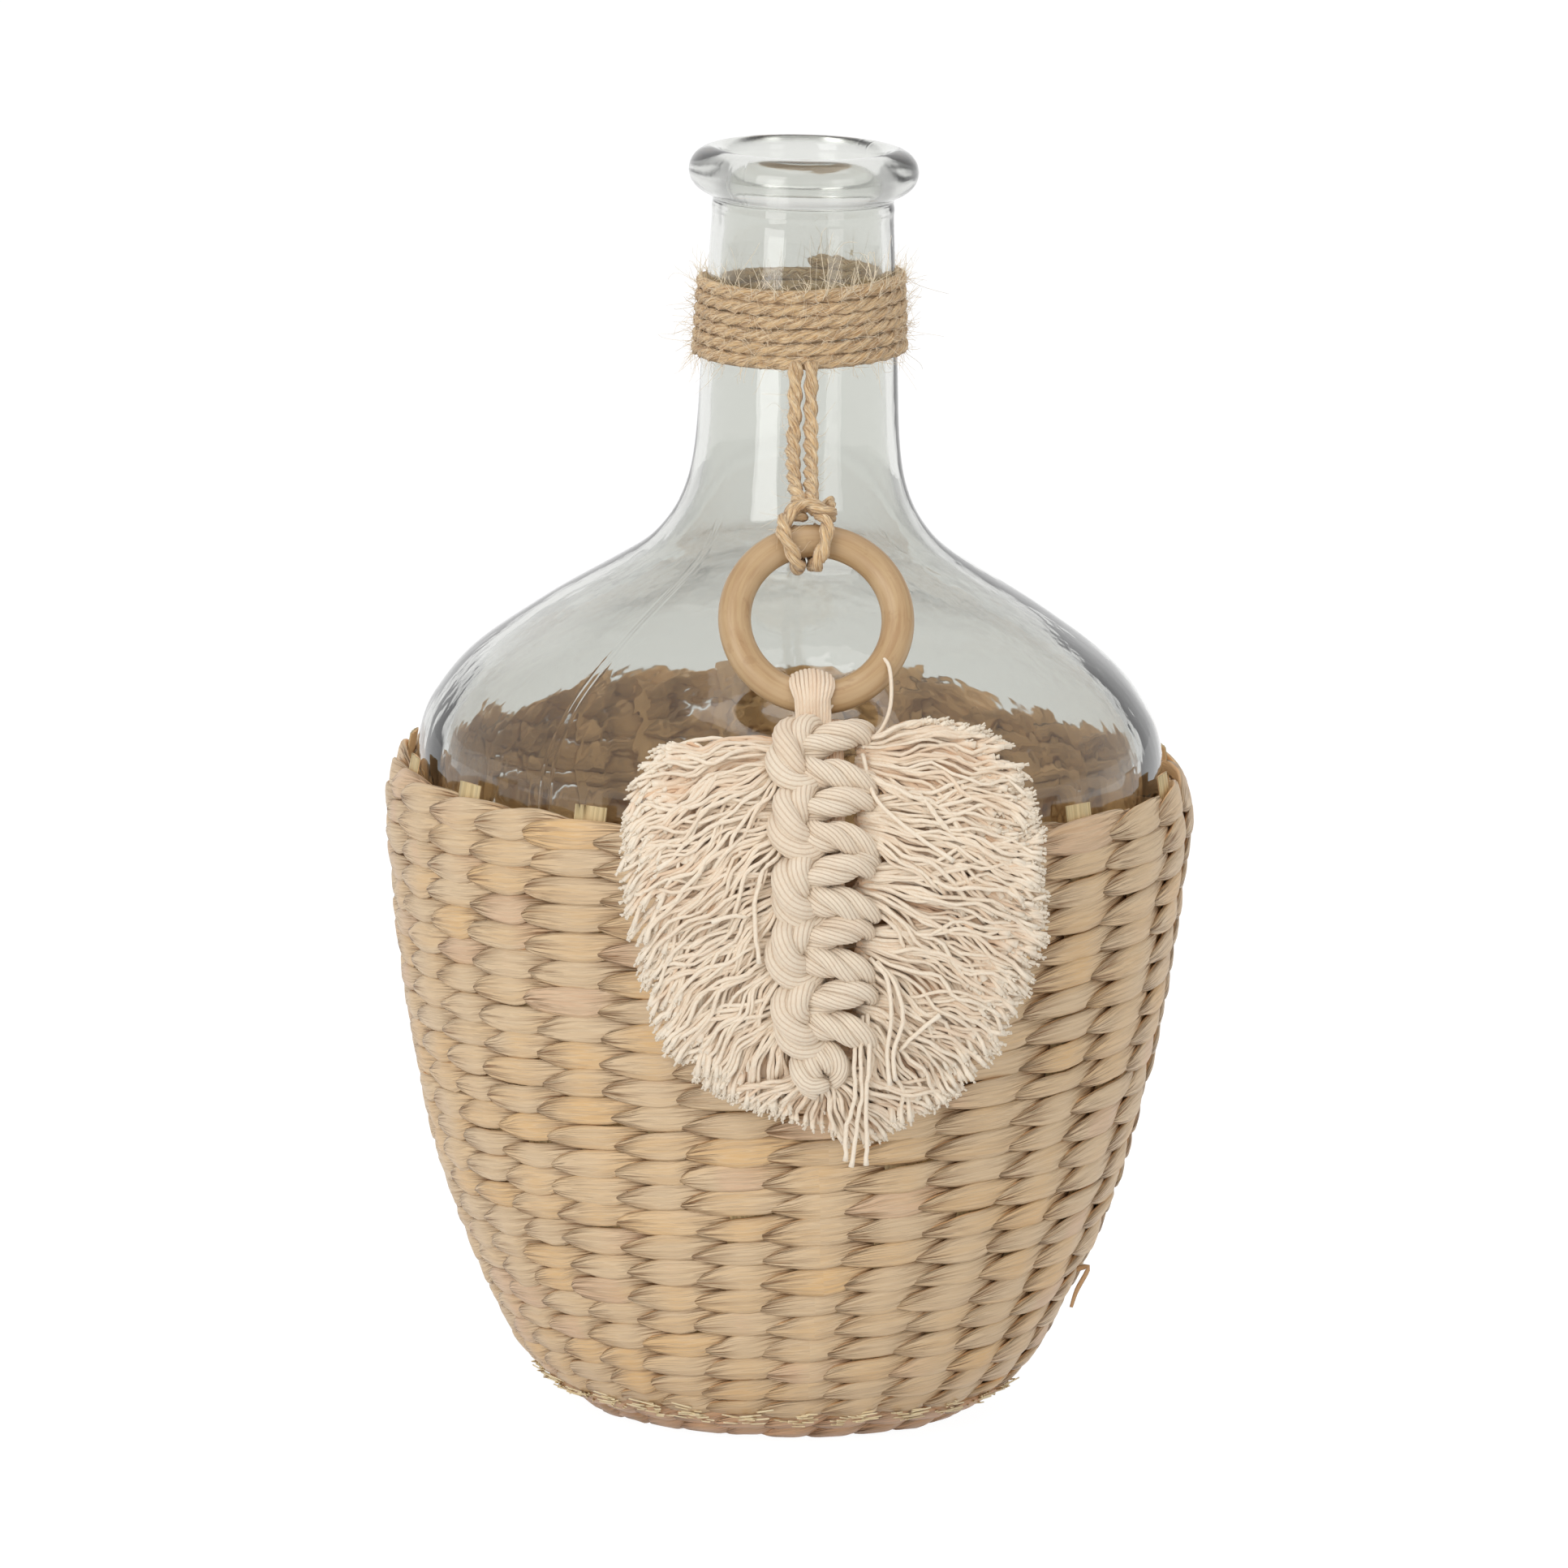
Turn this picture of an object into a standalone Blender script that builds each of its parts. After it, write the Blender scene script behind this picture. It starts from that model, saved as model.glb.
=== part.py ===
"""Glass demijohn in a twined basket, with a twine neck wrap and a hanging cotton leaf.

Metres, +Z up. The origin is the centre of the basket's underside, and the leaf hangs at -Y.
"""

import math

import bmesh
import bpy
from mathutils import Matrix, Vector

# The clearance that touching pieces keep
GAP = 0.0003

# Basket: outer size, and the layers of its wall from the outside in
BASKET_BULGE = 0.0015
RIM_CLEARANCE = 0.0005
# How far the rim is below the foot of the glass's shoulder
RIM_DROP = 0.0004
WEFT_THICKNESS = 0.0018
STAKE_THICKNESS = 0.0009
STAKE_WIDTH = 0.0070
INNER_WEAVE_THICKNESS = 0.0012
STAKE_END_HEIGHT = 0.0042
STAKE_COUNT = 28
ROW_COUNT = 25

# Bottle
GLASS_RADIUS = 0.0779
GLASS_HEIGHT = 0.2607
GLASS_WALL = 0.0026
GLASS_BASE = 0.0042
GLASS_SEAT_GAP = 0.0003
FOOT_RING_RADIUS = 0.0290
PUNT_HEIGHT = 0.0060
NECK_LENGTH = 0.0556
SHOULDER_DROP = 0.0740
NECK_BASE_RADIUS = 0.0209
NECK_TOP_RADIUS = 0.0188
LIP_RADIUS = 0.0239
LIP_HEIGHT = 0.0104
MOUTH_RADIUS = 0.0163
GLASS_STEPS = 28

# Twine wound round the neck, and its knot behind
WRAP_TWINE = 0.00228
WRAP_PITCH = 0.00276
WRAP_TURNS = 6
WRAP_DROP = 0.0253
TURN_POINTS = 24
WRAP_KNOT_SIZE = (0.0100, 0.0036, 0.0070)
WRAP_KNOT_ANGLE = math.radians(69)

# Wooden ring
RING_DIAMETER = 0.0400
RING_TUBE = 0.0067
RING_TIP = math.radians(25)

# Twine hanger between the wrap and the ring
STRAND = 0.0028
STRAND_SPACING = 0.0036
KNOT_LOOP_SPACING = 0.0056
KNOT_SHIFT = 0.0025
KNOT_TWINE = 0.0026
KNOT_LUMP_SIZE = (0.0110, 0.0060, 0.0046)

# Cotton leaf: loop over the ring, core, knots and fringe
LOOP_CORD = 0.0028
LOOP_PLAY = 0.0004
LEAF_KNOT_COUNT = 5
LEAF_KNOT_PITCH = 0.0137
LEAF_KNOT_SIZE = (0.0086, 0.0066, 0.0124)
LEAF_KNOT_SPACING = 0.0082
LEAF_KNOT_SHIFT = 0.0022
LEAF_END_KNOT_SIZE = (0.0092, 0.0060, 0.0090)
CORE_WIDTH = 0.0072
LEAF_THICKNESS = 0.0032
LEAF_HALF_WIDTH = 0.0436
LEAF_HALF_HEIGHT = 0.0430
LEAF_SHIFT = 0.0028
LEAF_CLEARANCE = 0.0016
LEAF_TOP_STEP = 0.0023
FIRST_KNOT_DROP = 0.0044

# How finely round shapes are divided
BALL_SIDES = 12
BALL_RINGS = 6
LOOP_SIDES = 14
TUBE_SIDES = 6
RING_TUBE_SIDES = 8
LEAF_LOOP_SIDES = 16
WALL_CURVE_STEPS = 12
STRAND_CURVE_STEPS = 2
TUFT_STEPS = 3
SHARP_ANGLE = math.radians(40)
MERGE_DISTANCE = 0.00001

# Shares of the basket's height and of its greatest radius, from the foot to the bulge
BASKET_SHARES = (
    (0.0, 0.462), (0.022, 0.521), (0.052, 0.587), (0.092, 0.646), (0.133, 0.687), (0.185, 0.726),
    (0.266, 0.787), (0.369, 0.848), (0.487, 0.896), (0.605, 0.935), (0.723, 0.966), (0.841, 0.986),
    (0.930, 1.0),
)
# Shares of the shoulder's drop, downwards, and of its growth in radius
SHOULDER_SHARES = (
    (0.0, 0.0), (0.108, 0.009), (0.216, 0.039), (0.297, 0.086), (0.378, 0.181), (0.459, 0.346),
    (0.541, 0.521), (0.622, 0.677), (0.703, 0.809), (0.784, 0.906), (0.865, 0.966), (1.0, 1.0),
)
# Shares of the lip's overhang beyond the neck, and of its height, from below to the flat top
LIP_SHARES = ((0.0, 0.0), (0.55, 0.07), (0.90, 0.27), (1.0, 0.52), (0.86, 0.80), (0.45, 1.0))
LIP_INNER_SHARE = 0.62
# The glass follows the basket's wall up to this share of the shoulder's height
BODY_TOP_SHARE = 0.92
# How far below the wrap's top the knot behind has its centre, as a share of the knot's height
WRAP_KNOT_DROP_SHARE = 0.33
# Every second stake ends above the rim. Stations are counted in rows from the foot
STAKE_STATION_SHARES = (0.0, 0.04, 0.08, 0.12, 0.20, 0.28, 0.40, 0.56, 0.76, 1.0)
LOW_STAKE_SHARE = 0.5
ROW_OVERHANG_SHARE = 0.5
# Where the ring rests on the shoulder, as a share of its drop from the neck
RING_REST_SHARE = 0.6419
# The leaf bends outwards over this many times its core's height above the rim
LEAF_BEND_SHARE = 1.496
# Shares of the way from the wrap down to the ring's knot: outwards, and downwards
HANGER_ROUTE_SHARES = ((0.0, 0.0), (0.01, 0.05), (0.10, 0.16), (0.30, 0.36), (0.65, 0.68), (1.0, 1.0))
# Angles of the fringe's tuft edges on the leaf's outline, as shares of a half turn from the top
TUFT_ANGLE_SHARES = (0.19, 0.32, 0.45, 0.57, 0.70, 0.84)
TUFT_GAP_SHARE = 0.004

STRAW = ("straw", (0.62, 0.47, 0.30), 0.75, 0.0)
BROWN_STRAW = ("brown_straw", (0.47, 0.31, 0.16), 0.8, 0.0)
STAKE_STRAW = ("stake_straw", (0.52, 0.45, 0.27), 0.75, 0.0)
GLASS = ("clear_glass", (0.80, 0.85, 0.82), 0.05, 0.0)
JUTE = ("jute", (0.47, 0.30, 0.14), 0.9, 0.0)
WOOD = ("beech", (0.66, 0.42, 0.20), 0.5, 0.0)
COTTON = ("cotton", (0.80, 0.70, 0.58), 0.9, 0.0)
BROWN_ROWS = 3


def clear_scene():
    for obj in list(bpy.data.objects):
        bpy.data.objects.remove(obj)


def material(look):
    """The material of this look, made once."""
    name, colour, roughness, metallic = look
    found = bpy.data.materials.get(name)
    if found:
        return found
    made = bpy.data.materials.new(name)
    made.use_nodes = True
    shader = made.node_tree.nodes["Principled BSDF"]
    shader.inputs["Base Color"].default_value = (*colour, 1.0)
    shader.inputs["Roughness"].default_value = roughness
    shader.inputs["Metallic"].default_value = metallic
    made.diffuse_color = (*colour, 1.0)
    return made


def add_object(name, data, look, parent):
    obj = bpy.data.objects.new(name, data)
    bpy.context.scene.collection.objects.link(obj)
    data.materials.append(material(look))
    obj.parent = parent
    if parent:
        obj.matrix_parent_inverse = Matrix.Translation(-parent.location)
    return obj


def add_pivot(name, place, parent=None):
    """An empty on a joint's axis, which carries the pieces that turn or slide there."""
    pivot = bpy.data.objects.new(name, None)
    bpy.context.scene.collection.objects.link(pivot)
    pivot.location = place
    pivot.parent = parent
    if parent:
        pivot.matrix_parent_inverse = Matrix.Translation(-parent.location)
    return pivot


def add_mesh(name, shape, look, parent, smooth=True):
    bmesh.ops.recalc_face_normals(shape, faces=shape.faces)
    mesh = bpy.data.meshes.new(name)
    shape.to_mesh(mesh)
    shape.free()
    if smooth:
        mesh.shade_smooth()
        mesh.set_sharp_from_angle(angle=SHARP_ANGLE)
    return add_object(name, mesh, look, parent)


def add_turned(name, outline, steps, look, parent, closed=False, flats=False):
    """A solid turned round Z from an outline of (radius, height) points.

    With flats, the outline lies on the middle of the facets and not on their corners.
    """
    spread = 1 / math.cos(math.pi / steps) if flats else 1
    start = math.pi / steps if flats else 0
    turned = bmesh.new()
    ring = [
        turned.verts.new((radius * spread * math.cos(start), radius * spread * math.sin(start), height))
        for radius, height in outline
    ]
    pairs = list(zip(ring, ring[1:]))
    if closed:
        pairs.append((ring[-1], ring[0]))
    edges = [turned.edges.new(pair) for pair in pairs]
    bmesh.ops.spin(
        turned, geom=ring + edges, cent=(0, 0, 0), axis=(0, 0, 1), angle=2 * math.pi, steps=steps,
        use_merge=True,
    )
    bmesh.ops.remove_doubles(turned, verts=turned.verts, dist=MERGE_DISTANCE)
    return add_mesh(name, turned, look, parent)


def add_tube(name, points, diameter, look, parent):
    """A cord along the points, as a curve with round sides and filled ends."""
    curve = bpy.data.curves.new(name, "CURVE")
    curve.dimensions = "3D"
    curve.bevel_depth = diameter / 2
    curve.bevel_resolution = 1
    curve.use_fill_caps = True
    spline = curve.splines.new("POLY")
    spline.points.add(len(points) - 1)
    for knot, point in zip(spline.points, points):
        knot.co = (*point, 1.0)
    return add_object(name, curve, look, parent)


def add_ball(name, centre, size, look, parent, turn=0.0, lean=0.0):
    """A lump of this size (width, depth, height), turned about Z or leaning about X."""
    ball = bmesh.new()
    bmesh.ops.create_uvsphere(ball, u_segments=BALL_SIDES, v_segments=BALL_RINGS, radius=1)
    bmesh.ops.scale(ball, vec=Vector(size) / 2, verts=ball.verts)
    obj = add_mesh(name, ball, look, parent)
    obj.location = centre
    obj.rotation_euler = (lean, 0, turn)
    return obj


def fuse(obj, helpers):
    """Joins the helpers into the object and hides them."""
    for helper in helpers:
        helper.hide_render = True
        helper.display_type = "WIRE"
        union = obj.modifiers.new("join_" + helper.name, "BOOLEAN")
        union.operation = "UNION"
        union.solver = "EXACT"
        union.object = helper


def smooth_curve(points, steps):
    """Points of a smooth curve through the given points."""
    first = points[0]
    last = points[-1]
    padded = [[2 * a - b for a, b in zip(first, points[1])], *points, [2 * a - b for a, b in zip(last, points[-2])]]
    curve = []
    for before, start, end, after in zip(padded, padded[1:], padded[2:], padded[3:]):
        for step in range(steps):
            t = step / steps
            curve.append(tuple(
                0.5 * (2 * b + (c - a) * t + (2 * a - 5 * b + 4 * c - d) * t ** 2 + (3 * b - a - 3 * c + d) * t ** 3)
                for a, b, c, d in zip(before, start, end, after)
            ))
    curve.append(tuple(last))
    return curve


def mixed(start, end, share):
    return start + (end - start) * share


# Sizes worked out from the ones above
ROW_DEPTH = WEFT_THICKNESS + GAP
STAKE_DEPTH = ROW_DEPTH + STAKE_THICKNESS
INNER_DEPTH = STAKE_DEPTH + GAP
WALL = INNER_DEPTH + INNER_WEAVE_THICKNESS
RIM_RADIUS = GLASS_RADIUS + RIM_CLEARANCE + WALL
BASKET_RADIUS = RIM_RADIUS + BASKET_BULGE
GLASS_BOTTOM = WALL + GLASS_SEAT_GAP
GLASS_TOP = GLASS_BOTTOM + GLASS_HEIGHT
NECK_BASE = GLASS_TOP - NECK_LENGTH
SHOULDER_BASE = NECK_BASE - SHOULDER_DROP
BASKET_HEIGHT = SHOULDER_BASE - RIM_DROP
LIP_BASE = GLASS_TOP - LIP_HEIGHT


def basket_curve():
    """The basket's outer wall from the foot's edge to the rim, as (radius, height) points."""
    points = [(radius * BASKET_RADIUS, height * BASKET_HEIGHT) for height, radius in BASKET_SHARES]
    points.append((RIM_RADIUS, BASKET_HEIGHT))
    return smooth_curve(points, WALL_CURVE_STEPS)


def basket_stations(count):
    """Points evenly spaced along the outer wall, each with its outward normal."""
    curve = [Vector(point) for point in basket_curve()]
    lengths = [0.0]
    for start, end in zip(curve, curve[1:]):
        lengths.append(lengths[-1] + (end - start).length)
    stations = []
    for number in range(count + 1):
        wanted = lengths[-1] * number / count
        index = max(i for i in range(len(curve) - 1) if lengths[i] <= wanted)
        share = (wanted - lengths[index]) / (lengths[index + 1] - lengths[index])
        along = (curve[index + 1] - curve[index]).normalized()
        stations.append((curve[index].lerp(curve[index + 1], share), Vector((along.y, -along.x))))
    stations[0] = (stations[0][0], Vector((0, -1)))
    stations[-1] = (stations[-1][0], Vector((1, 0)))
    return stations


STATIONS = basket_stations(ROW_COUNT)


def inside(station, depth):
    """The point this deep in the wall at a station."""
    point, normal = station
    return point - normal * depth


def stake_stations():
    """The stations where the stakes and the inner weave bend."""
    return [STATIONS[round(share * ROW_COUNT)] for share in STAKE_STATION_SHARES]


def add_base_mat(parent):
    """The woven disc that the basket stands on."""
    foot = STATIONS[0][0].x
    outline = ((0, 0), (foot, 0), (foot, WEFT_THICKNESS), (0, WEFT_THICKNESS))
    return add_turned("base_mat", outline, STAKE_COUNT, BROWN_STRAW, parent, flats=True)


def add_inner_weave(parent):
    """The inner face of the weave: the weavers that pass behind the stakes, as one skin."""
    stations = stake_stations()
    outer = [inside(station, INNER_DEPTH) for station in stations]
    inner = [inside(station, WALL) for station in stations]
    outline = [(0, INNER_DEPTH), *[tuple(p) for p in outer], *[tuple(p) for p in reversed(inner)], (0, WALL)]
    return add_turned("inner_weave", outline, STAKE_COUNT, STRAW, parent, flats=True)


def stake_corners(angle, outer, inner):
    """The four corners of a stake's section, whose wide sides face out and in."""
    across = Vector((-math.sin(angle), math.cos(angle), 0)) * STAKE_WIDTH / 2
    corners = []
    for point, side in ((outer, -1), (outer, 1), (inner, 1), (inner, -1)):
        radial = Vector((math.cos(angle), math.sin(angle), 0)) * point.x
        corners.append(radial + Vector((0, 0, point.y)) + across * side)
    return corners


def grow_stake(cage, root, angle, stations, rim_extra):
    """Extends one stake of the cage from its root corners up the wall."""
    sections = [(inside(station, ROW_DEPTH), inside(station, STAKE_DEPTH)) for station in stations[1:]]
    if rim_extra > 0:
        rise = Vector((0, rim_extra))
        sections.append((sections[-1][0] + rise, sections[-1][1] + rise))
    else:
        low = Vector((0, rim_extra))
        sections[-1] = (sections[-1][0] + low, sections[-1][1] + low)
    ring = root
    for outer, inner in sections:
        corners = [cage.verts.new(corner) for corner in stake_corners(angle, outer, inner)]
        for side in range(4):
            following = (side + 1) % 4
            cage.faces.new((ring[side], ring[following], corners[following], corners[side]))
        ring = corners
    cage.faces.new(ring)


def add_stake_frame(parent):
    """The stakes, which radiate from the middle of the base and stand up the wall."""
    cage = bmesh.new()
    stations = stake_stations()
    foot = stations[0]
    roots = []
    for number in range(STAKE_COUNT):
        angle = 2 * math.pi * number / STAKE_COUNT
        corners = stake_corners(angle, inside(foot, ROW_DEPTH), inside(foot, STAKE_DEPTH))
        roots.append((angle, [cage.verts.new(corner) for corner in corners]))
    low_loop = [corner for _, root in roots for corner in (root[0], root[1])]
    high_loop = [corner for _, root in roots for corner in (root[3], root[2])]
    cage.faces.new(low_loop)
    cage.faces.new(high_loop)
    for number, (angle, root) in enumerate(roots):
        following = roots[(number + 1) % STAKE_COUNT][1]
        cage.faces.new((root[1], following[0], following[3], root[2]))
        extra = -LOW_STAKE_SHARE * STAKE_END_HEIGHT if number % 2 else STAKE_END_HEIGHT
        grow_stake(cage, root, angle, stations, extra)
    return add_mesh("stake_frame", cage, STAKE_STRAW, parent, smooth=False)


def add_weft_row(number, parent):
    """One row of twining round the outside of the stakes."""
    low = inside(STATIONS[number], WEFT_THICKNESS)
    high = inside(STATIONS[number + 1], WEFT_THICKNESS)
    along = (high - low).normalized()
    outward = Vector((along.y, -along.x))
    low += along * GAP / 2
    high -= along * GAP / 2
    crest = low.lerp(high, ROW_OVERHANG_SHARE) + outward * WEFT_THICKNESS
    outline = (tuple(low), tuple(crest), tuple(high))
    look = BROWN_STRAW if number < BROWN_ROWS else STRAW
    name = f"weft_row_{number + 1:02d}"
    return add_turned(name, outline, STAKE_COUNT, look, parent, closed=True, flats=True)


def add_basket():
    basket = add_pivot("basket", (0, 0, 0))
    add_base_mat(basket)
    add_stake_frame(basket)
    add_inner_weave(basket)
    for number in range(ROW_COUNT):
        add_weft_row(number, basket)
    return basket


def neck_radius(height):
    """The glass neck's outer radius at a height."""
    return mixed(NECK_BASE_RADIUS, NECK_TOP_RADIUS, (height - NECK_BASE) / (LIP_BASE - NECK_BASE))


def body_outline():
    """The glass's outside from its foot ring to the shoulder, inside the basket."""
    room = WALL + GLASS_SEAT_GAP
    places = [inside(station, room) for station in stake_stations()]
    top = BODY_TOP_SHARE * SHOULDER_BASE
    return [(min(place.x, GLASS_RADIUS), place.y) for place in places if place.y < top]


def shoulder_outline():
    """The glass's outside from the shoulder's foot up to the neck."""
    return [
        (mixed(NECK_BASE_RADIUS, GLASS_RADIUS, out), NECK_BASE - down * SHOULDER_DROP)
        for down, out in reversed(SHOULDER_SHARES)
    ]


def lip_outline():
    """The rolled lip, from the neck up to the flat top and in to the mouth."""
    overhang = LIP_RADIUS - NECK_TOP_RADIUS
    points = [(NECK_TOP_RADIUS + out * overhang, LIP_BASE + up * LIP_HEIGHT) for out, up in LIP_SHARES]
    flat_inner = mixed(MOUTH_RADIUS, NECK_TOP_RADIUS, LIP_INNER_SHARE)
    points.append((flat_inner, GLASS_TOP))
    points.append((MOUTH_RADIUS, GLASS_TOP - GLASS_WALL))
    return points


def inner_outline(outside):
    """The glass's inside from the neck's top down to the middle of the base."""
    points = [(MOUTH_RADIUS, LIP_BASE)]
    middle = list(zip(outside, outside[1:], outside[2:]))
    for before, point, after in reversed(middle[::2]):
        along = (Vector(after) - Vector(before)).normalized()
        offset = Vector(point) - Vector((along.y, -along.x)) * GLASS_WALL
        if offset.y > GLASS_BOTTOM + GLASS_BASE + GLASS_WALL:
            points.append((offset.x, offset.y))
    points.append((FOOT_RING_RADIUS, GLASS_BOTTOM + GLASS_BASE))
    points.append((0, GLASS_BOTTOM + GLASS_BASE + PUNT_HEIGHT))
    return points


def add_glass(parent):
    base = [
        (0, GLASS_BOTTOM + PUNT_HEIGHT), (FOOT_RING_RADIUS - GLASS_BASE, GLASS_BOTTOM + GLASS_WALL / 2),
        (FOOT_RING_RADIUS, GLASS_BOTTOM),
    ]
    outside = [*body_outline(), *shoulder_outline(), (NECK_TOP_RADIUS, LIP_BASE)]
    outline = [*base, *outside[:-1], *lip_outline(), *inner_outline(outside)]
    return add_turned("glass_bottle", outline, GLASS_STEPS, GLASS, parent)


def winding_points():
    """The neck wrap's centre line: turns climbing the neck, with straight ends."""
    top = GLASS_TOP - WRAP_DROP - WRAP_TWINE / 2
    count = WRAP_TURNS * TURN_POINTS
    points = []
    for number in range(count + 1):
        angle = WRAP_KNOT_ANGLE + 2 * math.pi * number / TURN_POINTS
        height = top - WRAP_PITCH * (WRAP_TURNS - number / TURN_POINTS)
        radius = neck_radius(height) + GAP + WRAP_TWINE / 2
        points.append(Vector((radius * math.cos(angle), radius * math.sin(angle), height)))
    start = points[0] + (points[0] - points[1]).normalized() * WRAP_TWINE
    end = points[-1] + (points[-1] - points[-2]).normalized() * WRAP_TWINE
    return [start, *points, end]


def print_winding_gap(points):
    """Prints the least gap between one turn's surface and another's."""
    apart = TURN_POINTS // 2
    least = min(
        (points[i] - points[j]).length for i in range(len(points)) for j in range(i + apart, len(points))
    )
    print(f"neck wrap: least gap to itself {(least - WRAP_TWINE) * 1000:.2f} mm")


def add_wrap(parent):
    points = winding_points()
    print_winding_gap(points)
    add_tube("neck_wrap", points, WRAP_TWINE, JUTE, parent)
    width, depth, height = WRAP_KNOT_SIZE
    top = GLASS_TOP - WRAP_DROP
    centre_height = top - height * WRAP_KNOT_DROP_SHARE
    radius = neck_radius(top - height) + GAP + WRAP_TWINE + GAP + depth / 2
    centre = (radius * math.cos(WRAP_KNOT_ANGLE), radius * math.sin(WRAP_KNOT_ANGLE), centre_height)
    add_ball("wrap_knot", centre, (width, depth, height), JUTE, parent, turn=WRAP_KNOT_ANGLE - math.pi / 2)


RING_MAJOR = (RING_DIAMETER - RING_TUBE) / 2
LOOP_RADIUS = RING_TUBE / 2 + LOOP_PLAY + LOOP_CORD / 2
RING_DOWN = Vector((0, -math.sin(RING_TIP), -math.cos(RING_TIP)))
RING_NORMAL = Vector((0, -math.cos(RING_TIP), math.sin(RING_TIP)))


def ring_bottom():
    """The tube's centre at the ring's lowest point, resting by its cord loop on the shoulder."""
    height = NECK_BASE - RING_REST_SHARE * SHOULDER_DROP
    outline = [Vector(point) for point in shoulder_outline()]
    low, high = next((a, b) for a, b in zip(outline, outline[1:]) if a.y <= height <= b.y)
    along = (high - low).normalized()
    away = LOOP_RADIUS + LOOP_CORD / 2 + GAP
    surface = low.lerp(high, (height - low.y) / (high.y - low.y))
    outward = Vector((along.y, -along.x))
    centre = surface + outward * away - along * (outward.y * away / along.y)
    return Vector((0, -centre.x, centre.y))


RING_BOTTOM = ring_bottom()
RING_CENTRE = RING_BOTTOM - RING_DOWN * RING_MAJOR
RING_TOP = RING_CENTRE - RING_DOWN * RING_MAJOR
KNOT_RADIUS = RING_TUBE / 2 + GAP + KNOT_TWINE / 2
LUMP_CENTRE = RING_TOP + Vector((-KNOT_SHIFT, 0, 0)) - RING_DOWN * (RING_TUBE / 2 + GAP + KNOT_LUMP_SIZE[2] / 2)
STRAND_LOW = LUMP_CENTRE - RING_DOWN * (KNOT_LUMP_SIZE[2] / 2 + GAP)
WRAP_LOW = GLASS_TOP - WRAP_DROP - WRAP_TURNS * WRAP_PITCH - WRAP_TWINE
STRAND_HIGH = Vector((-KNOT_SHIFT / 2, -neck_radius(WRAP_LOW) - GAP - STRAND / 2, WRAP_LOW - STRAND / 2))


def add_ring(parent):
    bpy.ops.mesh.primitive_torus_add(
        major_segments=STAKE_COUNT, minor_segments=RING_TUBE_SIDES, major_radius=RING_MAJOR,
        minor_radius=RING_TUBE / 2,
    )
    ring = bpy.context.object
    ring.name = "wooden_ring"
    ring.data.shade_smooth()
    ring.data.materials.append(material(WOOD))
    ring.location = RING_CENTRE
    ring.rotation_euler = RING_NORMAL.to_track_quat("Z", "Y").to_euler()
    ring.parent = parent
    ring.matrix_parent_inverse = Matrix.Translation(-parent.location)
    return ring


def ring_frame(side):
    """Where the ring's tube is, this far to the side of its top, and the tube's direction there."""
    angle = math.asin(side / RING_MAJOR)
    radial = Vector((math.sin(angle), 0, 0)) - RING_DOWN * math.cos(angle)
    along = Vector((math.cos(angle), 0, 0)) + RING_DOWN * math.sin(angle)
    return RING_CENTRE + radial * RING_MAJOR, along


def add_loop(name, side, parent):
    """A loop of twine round the ring's tube."""
    centre, along = ring_frame(side)
    bpy.ops.mesh.primitive_torus_add(
        major_segments=LOOP_SIDES, minor_segments=TUBE_SIDES, major_radius=KNOT_RADIUS,
        minor_radius=KNOT_TWINE / 2,
    )
    loop = bpy.context.object
    loop.name = name
    loop.data.materials.append(material(JUTE))
    loop.location = centre
    loop.rotation_euler = along.to_track_quat("Z", "Y").to_euler()
    loop.parent = parent
    loop.matrix_parent_inverse = Matrix.Translation(-parent.location)
    return loop


def add_ring_knot(parent):
    """The hitch of the hanger round the ring's top: two loops and the lump where they cross."""
    lump = add_ball("ring_knot", LUMP_CENTRE, KNOT_LUMP_SIZE, JUTE, parent, lean=-RING_TIP)
    left = add_loop("ring_knot_left_loop", -KNOT_SHIFT - KNOT_LOOP_SPACING / 2, parent)
    right = add_loop("ring_knot_right_loop", -KNOT_SHIFT + KNOT_LOOP_SPACING / 2, parent)
    fuse(lump, (left, right))


def hanger_points(side):
    """The route of one hanger strand from under the wrap down to the ring's knot."""
    shift = Vector((side * STRAND_SPACING / 2, 0, 0))
    points = []
    for out, down in HANGER_ROUTE_SHARES:
        depth = mixed(STRAND_HIGH.y, STRAND_LOW.y, out)
        height = mixed(STRAND_HIGH.z, STRAND_LOW.z + STRAND / 2, down)
        points.append(tuple(Vector((mixed(STRAND_HIGH.x, STRAND_LOW.x, down), depth, height)) + shift))
    return smooth_curve(points, STRAND_CURVE_STEPS)


def add_hanger(parent):
    for name, side in (("hanger_strand_left", -1), ("hanger_strand_right", 1)):
        add_tube(name, hanger_points(side), STRAND, JUTE, parent)


def add_leaf_loop(parent):
    """The doubled cotton cord over the ring's bottom, turned round the ring's tube there."""
    low = LOOP_RADIUS - LOOP_CORD / 2
    high = LOOP_RADIUS + LOOP_CORD / 2
    half = LOOP_CORD
    waist = high - LOOP_CORD / 4
    outline = ((low, -half), (waist, -half), (high, -half / 2), (waist, 0), (high, half / 2), (waist, half), (low, half))
    loop = add_turned("leaf_loop", outline, LEAF_LOOP_SIDES, COTTON, parent, closed=True)
    loop.rotation_euler = (0, math.pi / 2, 0)
    loop.location = RING_BOTTOM
    return loop


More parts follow.
